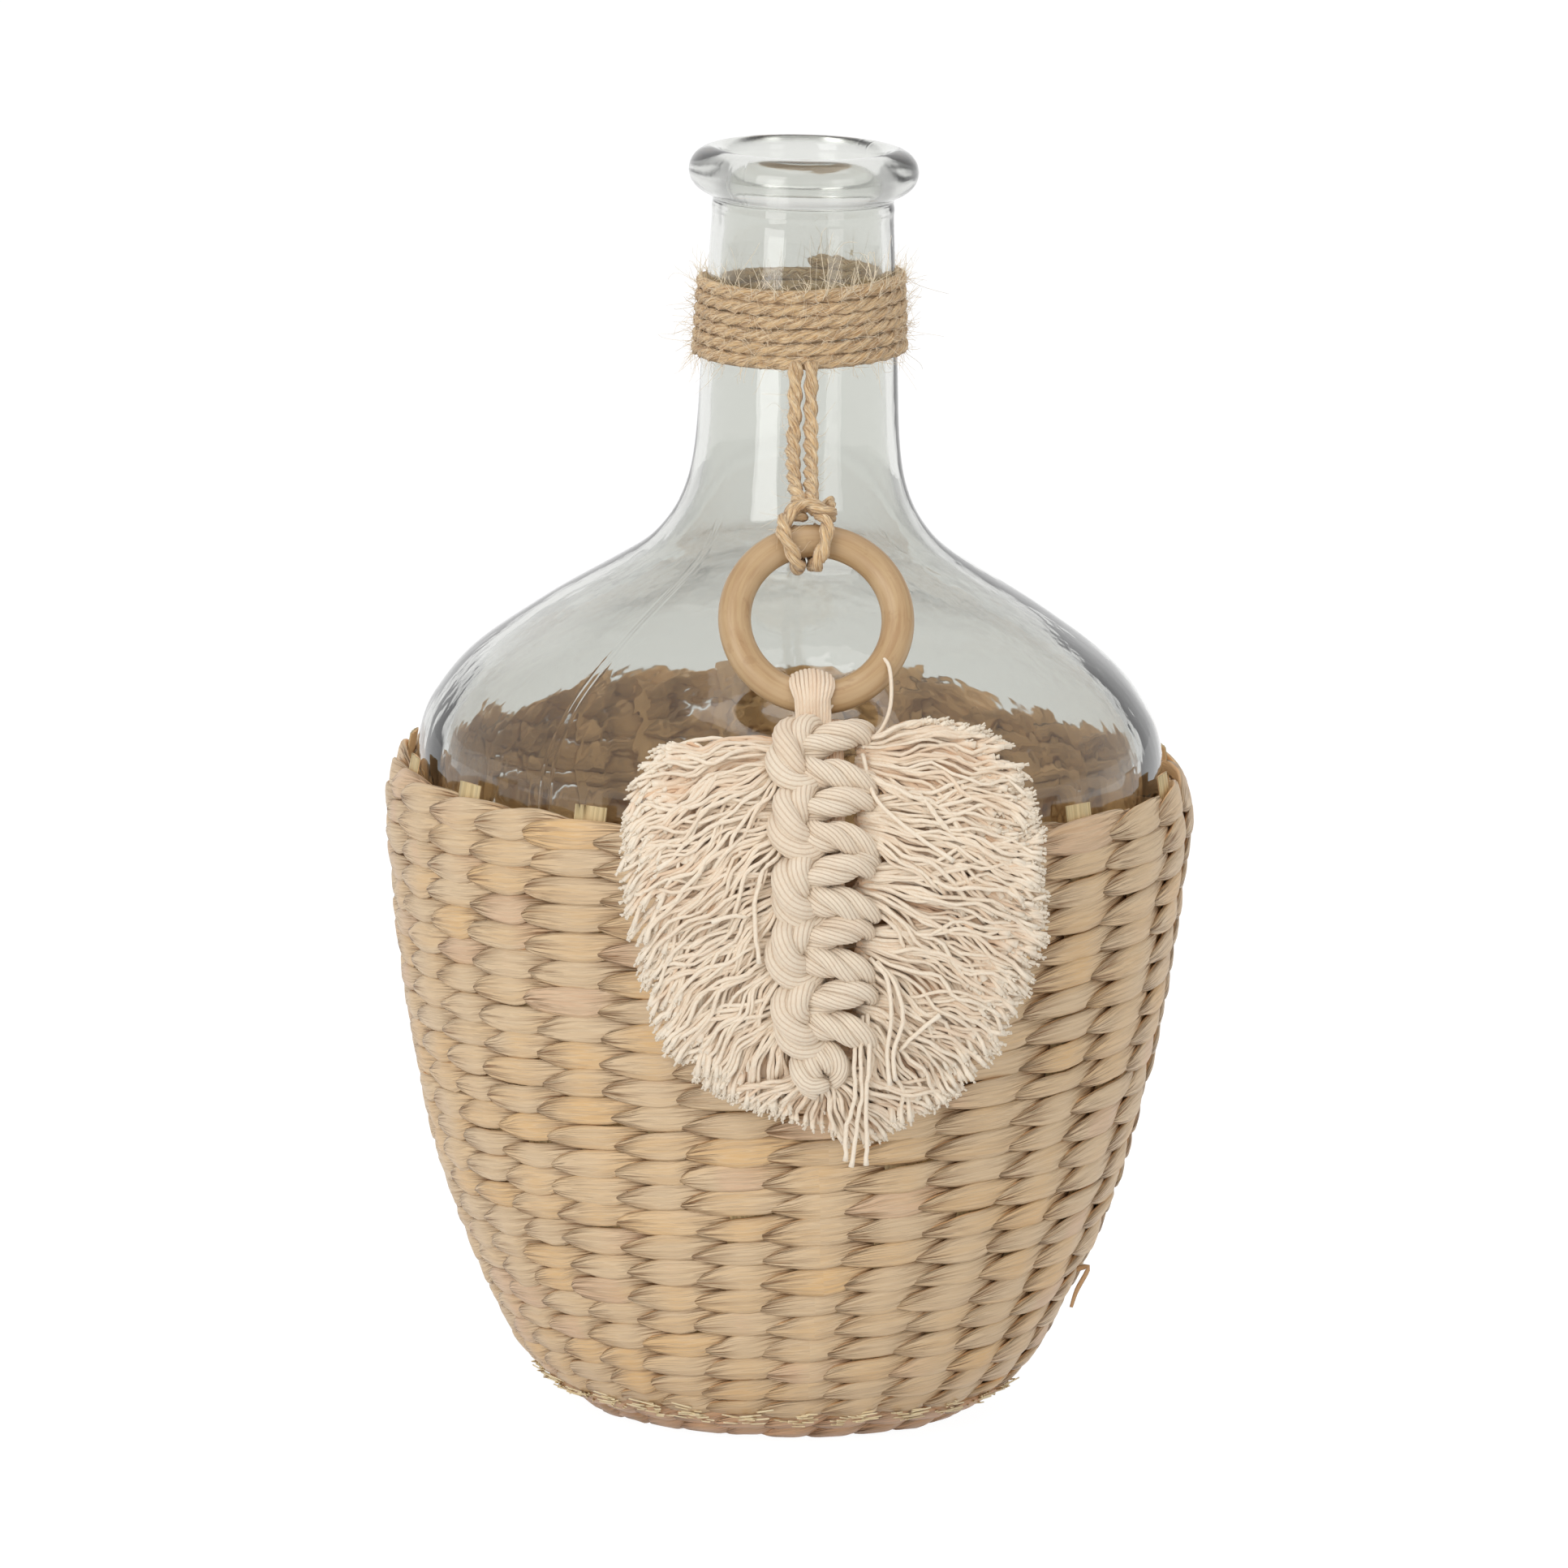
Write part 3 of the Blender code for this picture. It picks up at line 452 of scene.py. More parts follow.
def fibre_group():
    """Lines that run along a strand: coarse and fine, and slow patches, from the strand's own UV map."""
    group = bpy.data.node_groups.get("strand_fibres")
    if group:
        return group
    group = bpy.data.node_groups.new("strand_fibres", "ShaderNodeTree")
    for name, default in (("Around", 3.0), ("Along", 60.0), ("Twist", 0.0), ("Tone", 0.5)):
        group.interface.new_socket(name, in_out="INPUT", socket_type="NodeSocketFloat").default_value = default
    for name in ("Coarse", "Fine", "Patches"):
        group.interface.new_socket(name, in_out="OUTPUT", socket_type="NodeSocketFloat")
    nodes = Nodes(group)
    around, along, twist, tone = nodes.add("NodeGroupInput").outputs[:4]
    length, side = nodes.uv()
    angle = nodes.times(nodes.plus(side, nodes.times(length, twist)), TURN)
    run = nodes.plus(nodes.times(length, along), nodes.times(tone, 31.0))
    cosine, sine = (nodes.times(nodes.math(word, angle), around) for word in ("COSINE", "SINE"))
    ring = nodes.join(cosine, sine, run)
    patch = nodes.join(nodes.times(cosine, 0.25), sine, run)
    nodes.add("NodeGroupOutput", {"Coarse": nodes.noise(ring, 1.0), "Fine": nodes.noise(ring, 2.9, 1.0),
                                  "Patches": nodes.noise(patch, 0.45, 1.0)})
    return group


def fibres(nodes, around, along, twist, tone):
    values = {"Around": around, "Along": along, "Twist": twist, "Tone": tone}
    return nodes.add("ShaderNodeGroup", values, node_tree=fibre_group()).outputs


def new_look(name):
    look = bpy.data.materials.new(name)
    look.use_nodes = True
    return look, Nodes(look.node_tree), look.node_tree.nodes["Principled BSDF"]


def finish_look(nodes, shader, colour, height, distance, roughness, sheen=(0.0, 0.5)):
    bump = nodes.add("ShaderNodeBump", {"Height": height, "Strength": 1.0, "Distance": distance}).outputs[0]
    nodes.feed(shader, {"Base Color": colour, "Normal": bump, "Roughness": roughness, "Sheen Weight": sheen[0],
                        "Sheen Roughness": sheen[1]})


def straw_look(name, pale, warm, pink, crease_shade, inner):
    """Dry leaf: smooth and satin, with creases that gather at the tips of each float; the creases are partly the leaf's
    brown lines and partly painted shade. Painted shade also darkens the left tips and the deep parts, and painted light
    brightens the inward faces.
    """
    look, nodes, shader = new_look(name)
    tone, mark, deep = nodes.attributes("tone", "mark", "deep")
    coarse, fine, patches = fibres(nodes, 3.2, 40.0, 0.0, 0.0)
    # The straw's own tones by tone and patches, and pale streaks along the fine fibres that are painted highlight
    colour = nodes.tinged(pale, (tone, 0.40, 1.05, 1.0, warm), (tone, 0.20, 0.02, 0.6, pink),
                          (patches, 0.48, 0.72, 0.4, warm), (fine, 0.40, 0.60, 0.34, srgb(232, 211, 179)))
    # Creases along the fibres, strongest at the tips: partly the leaf's own brown lines, partly painted shade in the
    # folds
    tip = nodes.math("POWER", nodes.math("ABSOLUTE", mark), 1.8)
    shaded_creases = nodes.plus(*(
        nodes.times(nodes.steps(lines, low, high), nodes.plus(nodes.times(tip, at_tip), anywhere))
        for lines, low, high, at_tip, anywhere in ((coarse, 0.50, 0.58, 0.72, 0.10), (fine, 0.52, 0.62, 0.85, 0.18))))
    # Painted shade on each float's left end, darkest towards its point
    under = nodes.steps(mark, -0.76, -1.0, 0.0, 0.36)
    colour = nodes.mix(nodes.math("MAXIMUM", shaded_creases, under), colour, crease_shade)
    # Painted shade on the outer side of the strands where they lie deep in the wall, between the floats
    inward = nodes.steps(nodes.uv()[1], 0.46, 0.56)
    shade = nodes.math("SUBTRACT", 0.55, nodes.times(inward, 0.55))
    colour = nodes.mix(nodes.times(nodes.steps(deep, 0.45, 0.95), shade), colour, crease_shade)
    # Inward faces take the inner colour: painted light that brightens the inside of the basket
    colour = nodes.mix(nodes.times(inward, 0.85), colour, inner)
    height = nodes.math("SUBTRACT", nodes.times(fine, 0.45), nodes.times(shaded_creases, 1.1))
    finish_look(nodes, shader, colour, height, 0.00025, nodes.steps(fine, 0.3, 0.7, 0.40, 0.58))
    return look


def stake_look(settings):
    """Flat green-yellow leaf with raised ribs."""
    look, nodes, shader = new_look("stake_straw")
    coarse, fine, patches = fibres(nodes, 5.0, 25.0, 0.0, *nodes.attributes("tone"))
    # The stakes' inward side takes the inner colour too: painted light
    colour = nodes.tinged(settings.stake_colour, (coarse, 0.40, 0.62, 0.50, srgb(156, 134, 90)),
                          (patches, 0.4, 0.7, 0.5, srgb(206, 188, 148)),
                          (nodes.uv()[1], 0.48, 0.56, 0.85, settings.inner_straw_painted_light))
    finish_look(nodes, shader, colour, nodes.plus(coarse, nodes.times(fine, 0.4)), 0.00035, 0.62)
    return look


def fray_look():
    """Pale split ends of leaf, with the loose strip browner."""
    look, nodes, shader = new_look("stake_ends")
    tone, mark = nodes.attributes("tone", "mark")
    coarse, fine, _ = fibres(nodes, 2.0, 60.0, 0.0, tone)
    colour = nodes.tinged(srgb(222, 196, 146), (tone, 0.2, 0.9, 1.0, srgb(250, 235, 198)))
    colour = nodes.mix(mark, colour, srgb(198, 156, 112))
    colour = nodes.tinged(colour, (coarse, 0.5, 0.65, 0.25, srgb(176, 142, 92)))
    finish_look(nodes, shader, colour, fine, 0.00004, 0.65)
    return look


def jute_look(settings):
    """Hard twisted bast fibre, matt, with painted shade in the lines between its fibres and painted highlight on them.
    Hairs are pale and have no bump.
    """
    look, nodes, shader = new_look("jute_twine")
    tone, mark = nodes.attributes("tone", "mark")
    coarse, fine, patches = fibres(nodes, 2.6, 240.0, 60.0, tone)
    # Painted shade between the fibres, painted highlight on them, and darker patches of the jute's own
    colour = nodes.tinged(settings.jute_shade_and_dark_patches, (coarse, 0.34, 0.58, 1.0, settings.jute),
                          (fine, 0.47, 0.66, 0.85, settings.jute_highlight), (patches, 0.50, 0.75, 0.30, settings.jute_shade_and_dark_patches))
    colour = nodes.mix(mark, colour, srgb(244, 228, 200))
    height = nodes.times(nodes.plus(coarse, nodes.times(fine, 0.8)),
                         nodes.math("SUBTRACT", 1.0, nodes.steps(mark, 0.1, 0.4)))
    finish_look(nodes, shader, colour, height, 0.00045, 0.85, (0.25, 0.5))
    return look


def cotton_look(settings, roped=False):
    """Soft spun cotton, with a fine twist, painted shade between its fibres, in the rope's grooves and on its back
    yarns, painted light on its front yarns, and whiter at its combed tips.
    """
    look, nodes, shader = new_look("cotton_rope" if roped else "cotton_yarn")
    tone, mark = nodes.attributes("tone", "mark")
    coarse, fine, _ = fibres(nodes, 1.1, 900.0, 240.0, tone)
    # Low tone gives painted shade, high tone painted light; the twist's lines carry painted shade
    colour = nodes.tinged(settings.cotton_shade, (tone, 0.1, 0.9, 1.0, settings.cotton),
                          (tone, 0.4, 1.0, 0.6, settings.tip_and_painted_light_cotton), (coarse, 0.45, 0.65, 0.22, settings.cotton_shade))
    colour = nodes.mix(nodes.times(mark, 0.9), colour, settings.tip_and_painted_light_cotton)
    height = nodes.plus(coarse, nodes.times(fine, 0.5))
    if roped:
        colour = nodes.mix(0.45, colour, srgb(219, 205, 184))
        length, side = nodes.uv()
        angle = nodes.plus(nodes.times(side, YARNS_PER_PLY / 2 * TURN), nodes.times(length, YARN_SPIN))
        # Painted shade in the grooves between the rope's yarns
        groove = nodes.steps(nodes.math("ABSOLUTE", nodes.math("COSINE", angle)), 0.5, 0.0)
        colour = nodes.mix(nodes.times(groove, 0.42), colour, settings.cotton_shade)
        height = nodes.math("SUBTRACT", height, nodes.times(groove, 1.1))
    finish_look(nodes, shader, colour, height, 0.00012, 0.88, (0.2, 0.6))
    return look


def beech_look(settings):
    """Sanded beech under a thin matt seal, with its grain along the ring."""
    look, nodes, shader = new_look("beech_wood")
    around, across = (nodes.times(part, TURN) for part in nodes.uv("UVMap"))
    ring = nodes.join(*(nodes.times(nodes.math(word, angle), size) for word, angle, size in
                        (("COSINE", across, 1.5), ("SINE", across, 1.5), ("SINE", around, 0.8))))
    point = nodes.add("ShaderNodeTexCoord").outputs["Object"]
    grain = nodes.noise(ring, 2.2, 4.0, 0.6)
    flecks = nodes.noise(nodes.mapped(point, Scale=(260, 700, 260)), 1.0, 3.0, 0.6)
    slow = nodes.noise(point, 90.0, 1.0)
    colour = nodes.tinged(settings.beech, (grain, 0.38, 0.66, 0.7, settings.grain),
                          (slow, 0.4, 0.65, 0.35, srgb(202, 174, 135)), (flecks, 0.60, 0.72, 0.30, srgb(148, 110, 72)))
    finish_look(nodes, shader, colour, grain, 0.00010, nodes.steps(grain, 0.3, 0.7, 0.38, 0.5))
    nodes.feed(shader, {"Coat Weight": 0.15, "Coat Roughness": 0.35})
    return look


def glass_look(settings):
    """Clear pressed glass, a little wavy, with the mould's two seams. Its shadow lets the light through."""
    look, nodes, shader = new_look("clear_glass")
    point = nodes.add("ShaderNodeTexCoord").outputs["Object"]
    waves = nodes.noise(nodes.mapped(point, Scale=(26, 26, 11)), 1.0, 1.0)
    fine = nodes.noise(nodes.mapped(point, Scale=(150, 150, 70)), 1.0)
    turned = nodes.split(nodes.mapped(point, Rotation=(0, 0, math.radians(45))))[0]
    seam = nodes.steps(nodes.math("ABSOLUTE", turned), 0.0006, 0.0)
    height = nodes.plus(nodes.plus(nodes.times(waves, 8.0), nodes.times(seam, 0.10)), nodes.times(fine, 0.35))
    bump = nodes.add("ShaderNodeBump", {"Height": height, "Strength": 0.6, "Distance": 0.0004}).outputs[0]
    roughness = nodes.steps(nodes.split(point)[2], 0.2525, 0.2550, 0.03, 0.11)
    nodes.feed(shader, {"Normal": bump, "Base Color": settings.tint, "Roughness": roughness, "IOR": 1.5,
                        "Transmission Weight": 1.0})
    path = nodes.add("ShaderNodeLightPath").outputs
    through = nodes.math("MAXIMUM", path["Is Shadow Ray"], path["Is Diffuse Ray"])
    nodes.cover(through, shader, nodes.add("ShaderNodeBsdfTransparent", {"Color": (0.97, 0.98, 0.975, 1.0)}))
    return look


# The basket


def wall_line():
    """The basket's outer face as (radius, height), from the middle of its base to the rim, with its length."""
    wall = [(radius * BASKET_RADIUS, height * BASKET_HEIGHT) for height, radius in WALL_SHARES]
    wall.append((RIM_RADIUS, BASKET_HEIGHT))
    wall = smooth_path(wall, 0.0005)
    base = np.stack([np.linspace(0, wall[0, 0], 90)[:-1], np.zeros(89)], 1)
    line = np.concatenate([base, wall])
    return line, lengths(line), len(base)


WALL_LINE, WALL_RUN, FOOT_INDEX = wall_line()
FOOT_RUN = WALL_RUN[FOOT_INDEX]
WALL_AHEAD = unit(np.gradient(WALL_LINE, axis=0))


def wall_place(run, depth, angle):
    """Points this far along the wall and deep in it at an angle about Z, and the wall's outward and upward ways."""
    radius, height = (np.interp(run, WALL_RUN, WALL_LINE[:, axis]) for axis in (0, 1))
    over = np.maximum(run - WALL_RUN[-1], 0)
    up_r, up_z = (np.interp(run, WALL_RUN, WALL_AHEAD[:, axis]) for axis in (0, 1))
    radius = radius + over * up_r - depth * up_z
    height = height + over * up_z + depth * up_r
    radial = np.stack([np.cos(angle), np.sin(angle), np.zeros_like(angle)], -1)
    rise = np.array((0.0, 0.0, 1.0))
    points = radial * radius[..., None] + rise * height[..., None]
    outward = radial * up_z[..., None] - rise * up_r[..., None]
    upward = radial * up_r[..., None] + rise * up_z[..., None]
    return points, outward, upward


def stake_angles(count):
    """Where the stakes stand about Z: a little closer on one side, as on the real basket."""
    place_in_turn = TURN * (np.arange(count) * (28 / count) + 0.9) / 28
    return place_in_turn - 0.13 * np.cos(place_in_turn) - math.pi / 2 - 0.03


def twine_row(threads, run, stakes, settings, size, steps=14, bulk=1.0, sink=0.0):
    """One row of twining: two strands that change places between the stakes."""
    random = threads.random
    count = len(stakes)
    gap = TURN / count
    middles = stakes + random.normal(0, 0.035, count) * gap
    following = np.roll(middles, -1)
    following[-1] += TURN
    crossings = (middles + following) / 2 + random.normal(0, 0.07, count) * gap
    angles = np.stack([middles, crossings], 1).ravel()
    angles = np.concatenate([angles - TURN, angles, angles + TURN])
    phases = np.arange(len(angles)) * math.pi / 2 - count * math.pi
    phase = np.arange(count * steps) * math.pi / steps
    angle = np.interp(phase, phases, angles)
    knots = np.arange(-1, count + 3) * math.pi
    for strand in (0, 1):
        own = phase + strand * math.pi

        def varied(centre, spread):
            values = random.normal(centre, spread, count)
            values = np.concatenate([values[-1:], values, values[:3]])
            return np.interp(own, knots, values)

        turned = (own + math.pi) % TURN - math.pi
        reach = np.abs(turned) / math.pi
        climb, full, front = (np.interp(turned / math.pi, FLOAT[0], part) for part in FLOAT[1:])
        height = settings.tip_height + (settings.float_height * varied(1.0, 0.085) - settings.tip_height) * full
        thick = (0.0009 + 0.0007 * front) * bulk
        depth = INNER_DEPTH + (OUTER_DEPTH - INNER_DEPTH) * front - varied(0.0, 0.00016) + sink
        lift = settings.rise * climb + varied(0.0, 0.00024)
        points, outward, upward = wall_place(run + lift * size, depth, angle)
        tilt = (0.12 * climb + varied(0.0, 0.09))[:, None]
        facing = outward * np.cos(tilt) + upward * np.sin(tilt)
        tone = np.clip(varied(0.40, 0.31), 0, 1)
        folds = [(waves, amount, random.uniform(0, TURN))
                 for waves, amount in ((2, 0.03), (3, 0.05), (5, 0.05), (7, 0.04))]
        slow = varied(0.0, 1.2)

        def shape(around):
            flat = (np.abs(np.cos(around)) ** 2.9 + np.abs(np.sin(around)) ** 2.9) ** (-1 / 2.9)
            value = np.broadcast_to(flat, (len(own), len(around))).copy()
            for waves, amount, start in folds:
                value += amount * (0.5 + 1.3 * reach ** 2)[:, None] * np.cos(waves * around + start + slow[:, None])
            return value[None]

        tips = np.sign(turned) * np.clip(reach / 0.75, 0, 1)
        threads.add(points, height * size, thick, facing, 16, True, tone[None], tips, shape, 1 - front,
                    random.uniform(0, 9))


def row_pitch(settings):
    return (WALL_RUN[-1] - FOOT_RUN) / settings.rows


class DEMIJOHN_OT_rows(bpy.types.Operator):
    """Twine the rows of straw round the stakes, and the foot disc below them"""

    bl_idname = "demijohn.rows"
    bl_label = "Twined rows"

    def execute(self, context):
        settings = context.scene.demijohn_basket
        stakes = stake_angles(settings.stakes)
        straw = straw_look("straw", settings.straw, settings.warm_straw, settings.pink_straw, settings.crease_shade,
                           settings.inner_straw_painted_light)
        # The brown rows' crease colour is painted shade as well, partly the leaf's own lines
        brown = straw_look("brown_straw", settings.brown_straw, srgb(180, 134, 90), settings.pink_straw,
                           srgb(104, 70, 42), settings.inner_straw_painted_light)
        pitch = row_pitch(settings)
        top = settings.rows - 1
        for number in range(settings.rows):
            threads = Threads(100 + number)
            low = number < settings.brown_rows
            size = pitch / 0.0060 * (1.06 if number == top else 1.0)
            bulk = 1.9 if number == 0 else 1.35 if low else 1.0
            sink = 0.0005 if number == 0 else 0.0
            twine_row(threads, FOOT_RUN + (number + 0.5) * pitch, stakes, settings, size, 14, bulk, sink)
            nodes = [f"weft_row_{number + 1:02d}"] + ["inner_weave"] * (number == top)
            place_threads(f"twined_row_{number + 1:02d}", threads, brown if low else straw, "basket",
                          "brown_straw" if low else "straw", *nodes)
        base = Threads(90)
        for number, every in enumerate((1, 1, 1, 2, 2, 4)):
            twine_row(base, FOOT_RUN - (number + 0.5) * BASE_PITCH, stakes[::every], settings, 0.98, 8, 1.0, 0.0007)
        angle = np.linspace(0, TURN, 17)
        centre = smooth_path(np.stack([0.0030 * np.cos(angle), 0.0030 * np.sin(angle), np.full(17, 0.0012)], 1), 0.0008)
        base.add(centre[:-1], 0.0034, 0.0022, (0, 0, -1), 10, True)
        place_threads("base_weave", base, brown, "basket", "brown_straw", "base_mat")
        return {"FINISHED"}


class DEMIJOHN_OT_stakes(bpy.types.Operator):
    """Stand the flat stakes in the wall, every second one above the rim"""

    bl_idname = "demijohn.stakes"
    bl_label = "Stakes"

    def execute(self, context):
        settings = context.scene.demijohn_basket
        threads = Threads(7)
        random = threads.random
        for number, angle in enumerate(stake_angles(settings.stakes)):
            tall = number % 2 == 1
            end = WALL_RUN[-1] + (settings.stake_end + random.uniform(-0.0006, 0.0004) if tall else -0.0022)
            run = np.concatenate([np.linspace(0.006 if number % 4 == 0 else 0.014, end, 46), [end + 0.00001]])
            drift = np.interp(run, [0, 0.06, end], [0, random.normal(0, 0.012), random.normal(0, 0.014)])
            points, outward, _ = wall_place(run, np.full(len(run), STAKE_DEPTH), angle + drift)
            room = np.hypot(points[:, 0], points[:, 1]) * TURN / settings.stakes * 0.92
            wide = np.minimum(settings.stake_width, room)
            wide[-1] *= 0.98

            def shape(around):
                ribs = 1 + 0.16 * np.cos(9 * around + number) * np.abs(np.sin(around))
                return np.broadcast_to(ribs, (1, len(run), len(around)))

            threads.add(points, wide, 0.0009, outward, 26, False, random.uniform(0, 1), 0.0, shape)
        place_threads("basket_stakes", threads, stake_look(settings), "basket", "stake_straw", "stake_frame")
        self.tufts(settings)
        return {"FINISHED"}

    def tufts(self, settings):
        """The frayed ends of the stakes that show between the lowest rows, and one loose strip."""
        threads = Threads(8)
        random = threads.random
        pitch = row_pitch(settings)
        steps = np.linspace(0, 1, 5)
        for angle in stake_angles(28):
            for _ in range(15):
                start = angle + random.uniform(-0.055, 0.055)
                length = random.uniform(0.0025, 0.0048)
                run = FOOT_RUN + pitch * (2.02 + 0.20 * random.normal()) + length * 0.5 * (steps - 0.5)
                turn = start + random.choice((-1, 1)) * steps * length / 0.055 * 0.8
                points, outward, _ = wall_place(run, -0.0005 - 0.0008 * steps + random.uniform(0, 0.0009), turn)
                threads.add(points, 0.0007 * (1.1 - steps * 0.7), 0.0003, outward, 5, False, random.uniform(0.5, 1.0))
        strip = np.array(((57.2, -14, 30.2), (61.2, -14, 31), (64, -14, 31.7), (63.7, -14.2, 30.3), (61.8, -14.3, 26.6),
                          (60.7, -14.4, 23)))
        path = smooth_path(strip * MM, 0.0008)
        wide = np.interp(lengths(path), [0, 0.004, 0.012, 0.02], [0.0004, 0.0011, 0.0012, 0.0006])
        threads.add(path, wide[None], 0.0003, np.array((0.5, -0.8, 0.3)), 6, False, 0.2, 1.0)
        place_threads("stake_end_fray", threads, fray_look(), "basket", "stake_straw")


# The bottle


def lathe(name, outline, steps):
    """Turns a closed outline of (radius, height) by extruding a circle along it."""
    bpy.ops.object.select_all(action="DESELECT")
    start = outline[0]
    bpy.ops.mesh.primitive_circle_add(vertices=steps, radius=start[0], location=(0, 0, start[1]))
    obj = bpy.context.object
    obj.name = obj.data.name = name
    bpy.ops.object.transform_apply(location=True, rotation=True, scale=True)
    bpy.ops.object.mode_set(mode="EDIT")
    bpy.ops.mesh.select_all(action="SELECT")
    for before, after in zip(outline, outline[1:]):
        bpy.ops.mesh.extrude_region_move(TRANSFORM_OT_translate={"value": (0, 0, after[1] - before[1])})
        share = after[0] / before[0]
        bpy.ops.transform.resize(value=(share, share, 1), center_override=(0, 0, after[1]))
    bpy.ops.object.mode_set(mode="OBJECT")
    return obj


class DEMIJOHN_OT_bottle(bpy.types.Operator):
    """Blow the bottle: body, shoulder, neck and rolled lip"""

    bl_idname = "demijohn.bottle"
    bl_label = "Glass bottle"

    def execute(self, context):
        settings = context.scene.demijohn_bottle
        run = np.linspace(FOOT_RUN + 0.008, WALL_RUN[-1] - 0.006, 16)
        inside_wall = wall_place(run, np.full(16, GLASS_DEPTH), np.zeros(16))[0][:, ::2]
        inside_wall[:, 0] = np.minimum(inside_wall[:, 0], GLASS_RADIUS)
        foot = [(0.0290, GLASS_FOOT), (0.0345, 0.0052)]
        outside = smooth_path(np.concatenate([foot, inside_wall, SHOULDER[:, ::-1] * MM]), 0.0028)
        lip = smooth_path(LIP[:, ::-1] * MM, 0.0009)
        wall = smooth_path(np.concatenate([outside[2:3], outside[4:]]), 0.0035)
        ahead = unit(np.gradient(wall, axis=0))
        run = lengths(wall)
        past_edge = np.interp(174 * MM, wall[:, 1], run) - run
        extra = settings.pooling * np.interp(past_edge, [0, 0.010, 0.055, 0.120], [0, 0.14, 1, 0])
        inner = wall - np.stack([ahead[:, 1], -ahead[:, 0]], 1) * (settings.wall + extra)[:, None]
        inner = inner[inner[:, 1] > GLASS_FOOT + settings.base + 0.0004][::-1]
        inner[:, 0] = np.minimum(inner[:, 0], np.where(inner[:, 1] > 0.245, NECK_BORE, 1.0))
        floor = [(0.040, 0.0092), (0.0290, 0.0091), (0.0170, 0.0124), (0.0080, 0.0148), (0.0004, 0.0151)]
        punt = [(0.0004, 0.0109), (0.0080, 0.0106), (0.0170, 0.0082), (0.0250, 0.0056)]
        obj = lathe("jar_glass", np.concatenate([punt, outside, lip, inner, floor]), 96)
        bpy.ops.object.mode_set(mode="EDIT")
        bpy.ops.mesh.select_all(action="SELECT")
        bpy.ops.mesh.remove_doubles(threshold=0.00001)
        bpy.ops.mesh.select_all(action="DESELECT")
        bpy.ops.mesh.select_non_manifold()
        bpy.ops.mesh.fill_holes(sides=0)
        bpy.ops.mesh.select_all(action="SELECT")
        bpy.ops.mesh.normals_make_consistent(inside=False)
        bpy.ops.object.mode_set(mode="OBJECT")
        smooth = obj.modifiers.new("smooth", "SUBSURF")
        smooth.levels = smooth.render_levels = 1
        bpy.ops.object.modifier_apply(modifier=smooth.name)
        bpy.ops.object.shade_smooth()
        place(obj, glass_look(settings), "bottle", "clear_glass", "glass_bottle")
        return {"FINISHED"}


# The twine


def neck_radius(height):
    return np.interp(height, SHOULDER[-9:, 0] * MM, SHOULDER[-9:, 1] * MM)


def pressed(points):
    """Twine pulled tight on the neck, so that it is flatter than it is high."""
    radius = np.linalg.norm(points[..., :2], axis=-1, keepdims=True)
    inner = neck_radius(points[..., 2:]) + WRAP_ROOM
    share = (inner + (radius - inner) * 0.70) / radius
    return points * np.concatenate([share, share, np.ones_like(share)], -1)


def fibre_bundle(around):
    return np.broadcast_to(1 + 0.07 * np.cos(4 * around) + 0.05 * np.cos(3 * around + 1.0), (1, 1, len(around)))


def twine(threads, path, thickness, lay, facing=None, start=0.0):
    """Two-ply twine laid to the left along a path."""
    lines, way = plies(path, thickness * 0.20, 2, lay, -1, facing, start)
    run = lengths(lines)
    taper = 1 - 0.35 * np.exp(-np.minimum(run, run[:, -1:] - run) / 0.0004)
    girth = thickness * 0.63 * taper * (1 + 0.05 * np.sin(run / 0.0031 + start))
    tones = threads.random.uniform(0.2, 0.8, 2)
    threads.add(lines, girth * 1.04, girth * 0.96, way, 12, False, tones, 0.0, fibre_bundle)
    return lines, way


def add_hairs(threads, roots, ways, count, length, thickness=0.00010, lift=0.5, pale=0.55):
    """Loose fibres that start on the twine and curl away from it."""
    random = threads.random
    picks = random.integers(0, len(roots), count)
    steps = np.linspace(0, 1, 7)
    along = steps[:, None]
    long = np.clip(random.gamma(2.2, length / 2.2, count), length * 0.3, length * 3.2)[:, None, None]
    away = unit(ways[picks] + random.normal(0, 0.55, (count, 3))
                + np.array((0, 0, lift)) * random.uniform(-0.4, 1.0, (count, 1)))
    side = unit(random.normal(0, 1, (count, 3)))
    bend = np.sin(along * random.uniform(1.2, 5.0, (count, 1, 1)) + random.uniform(0, 6, (count, 1, 1)))
    paths = roots[picks][:, None] + away[:, None] * (along * long)
    paths = paths + side[:, None] * (bend - bend[:, :1]) * long * 0.28
    threads.add(paths, thickness * (1 - 0.5 * steps), None, None, 3, False, random.uniform(0, 1, count), pale)


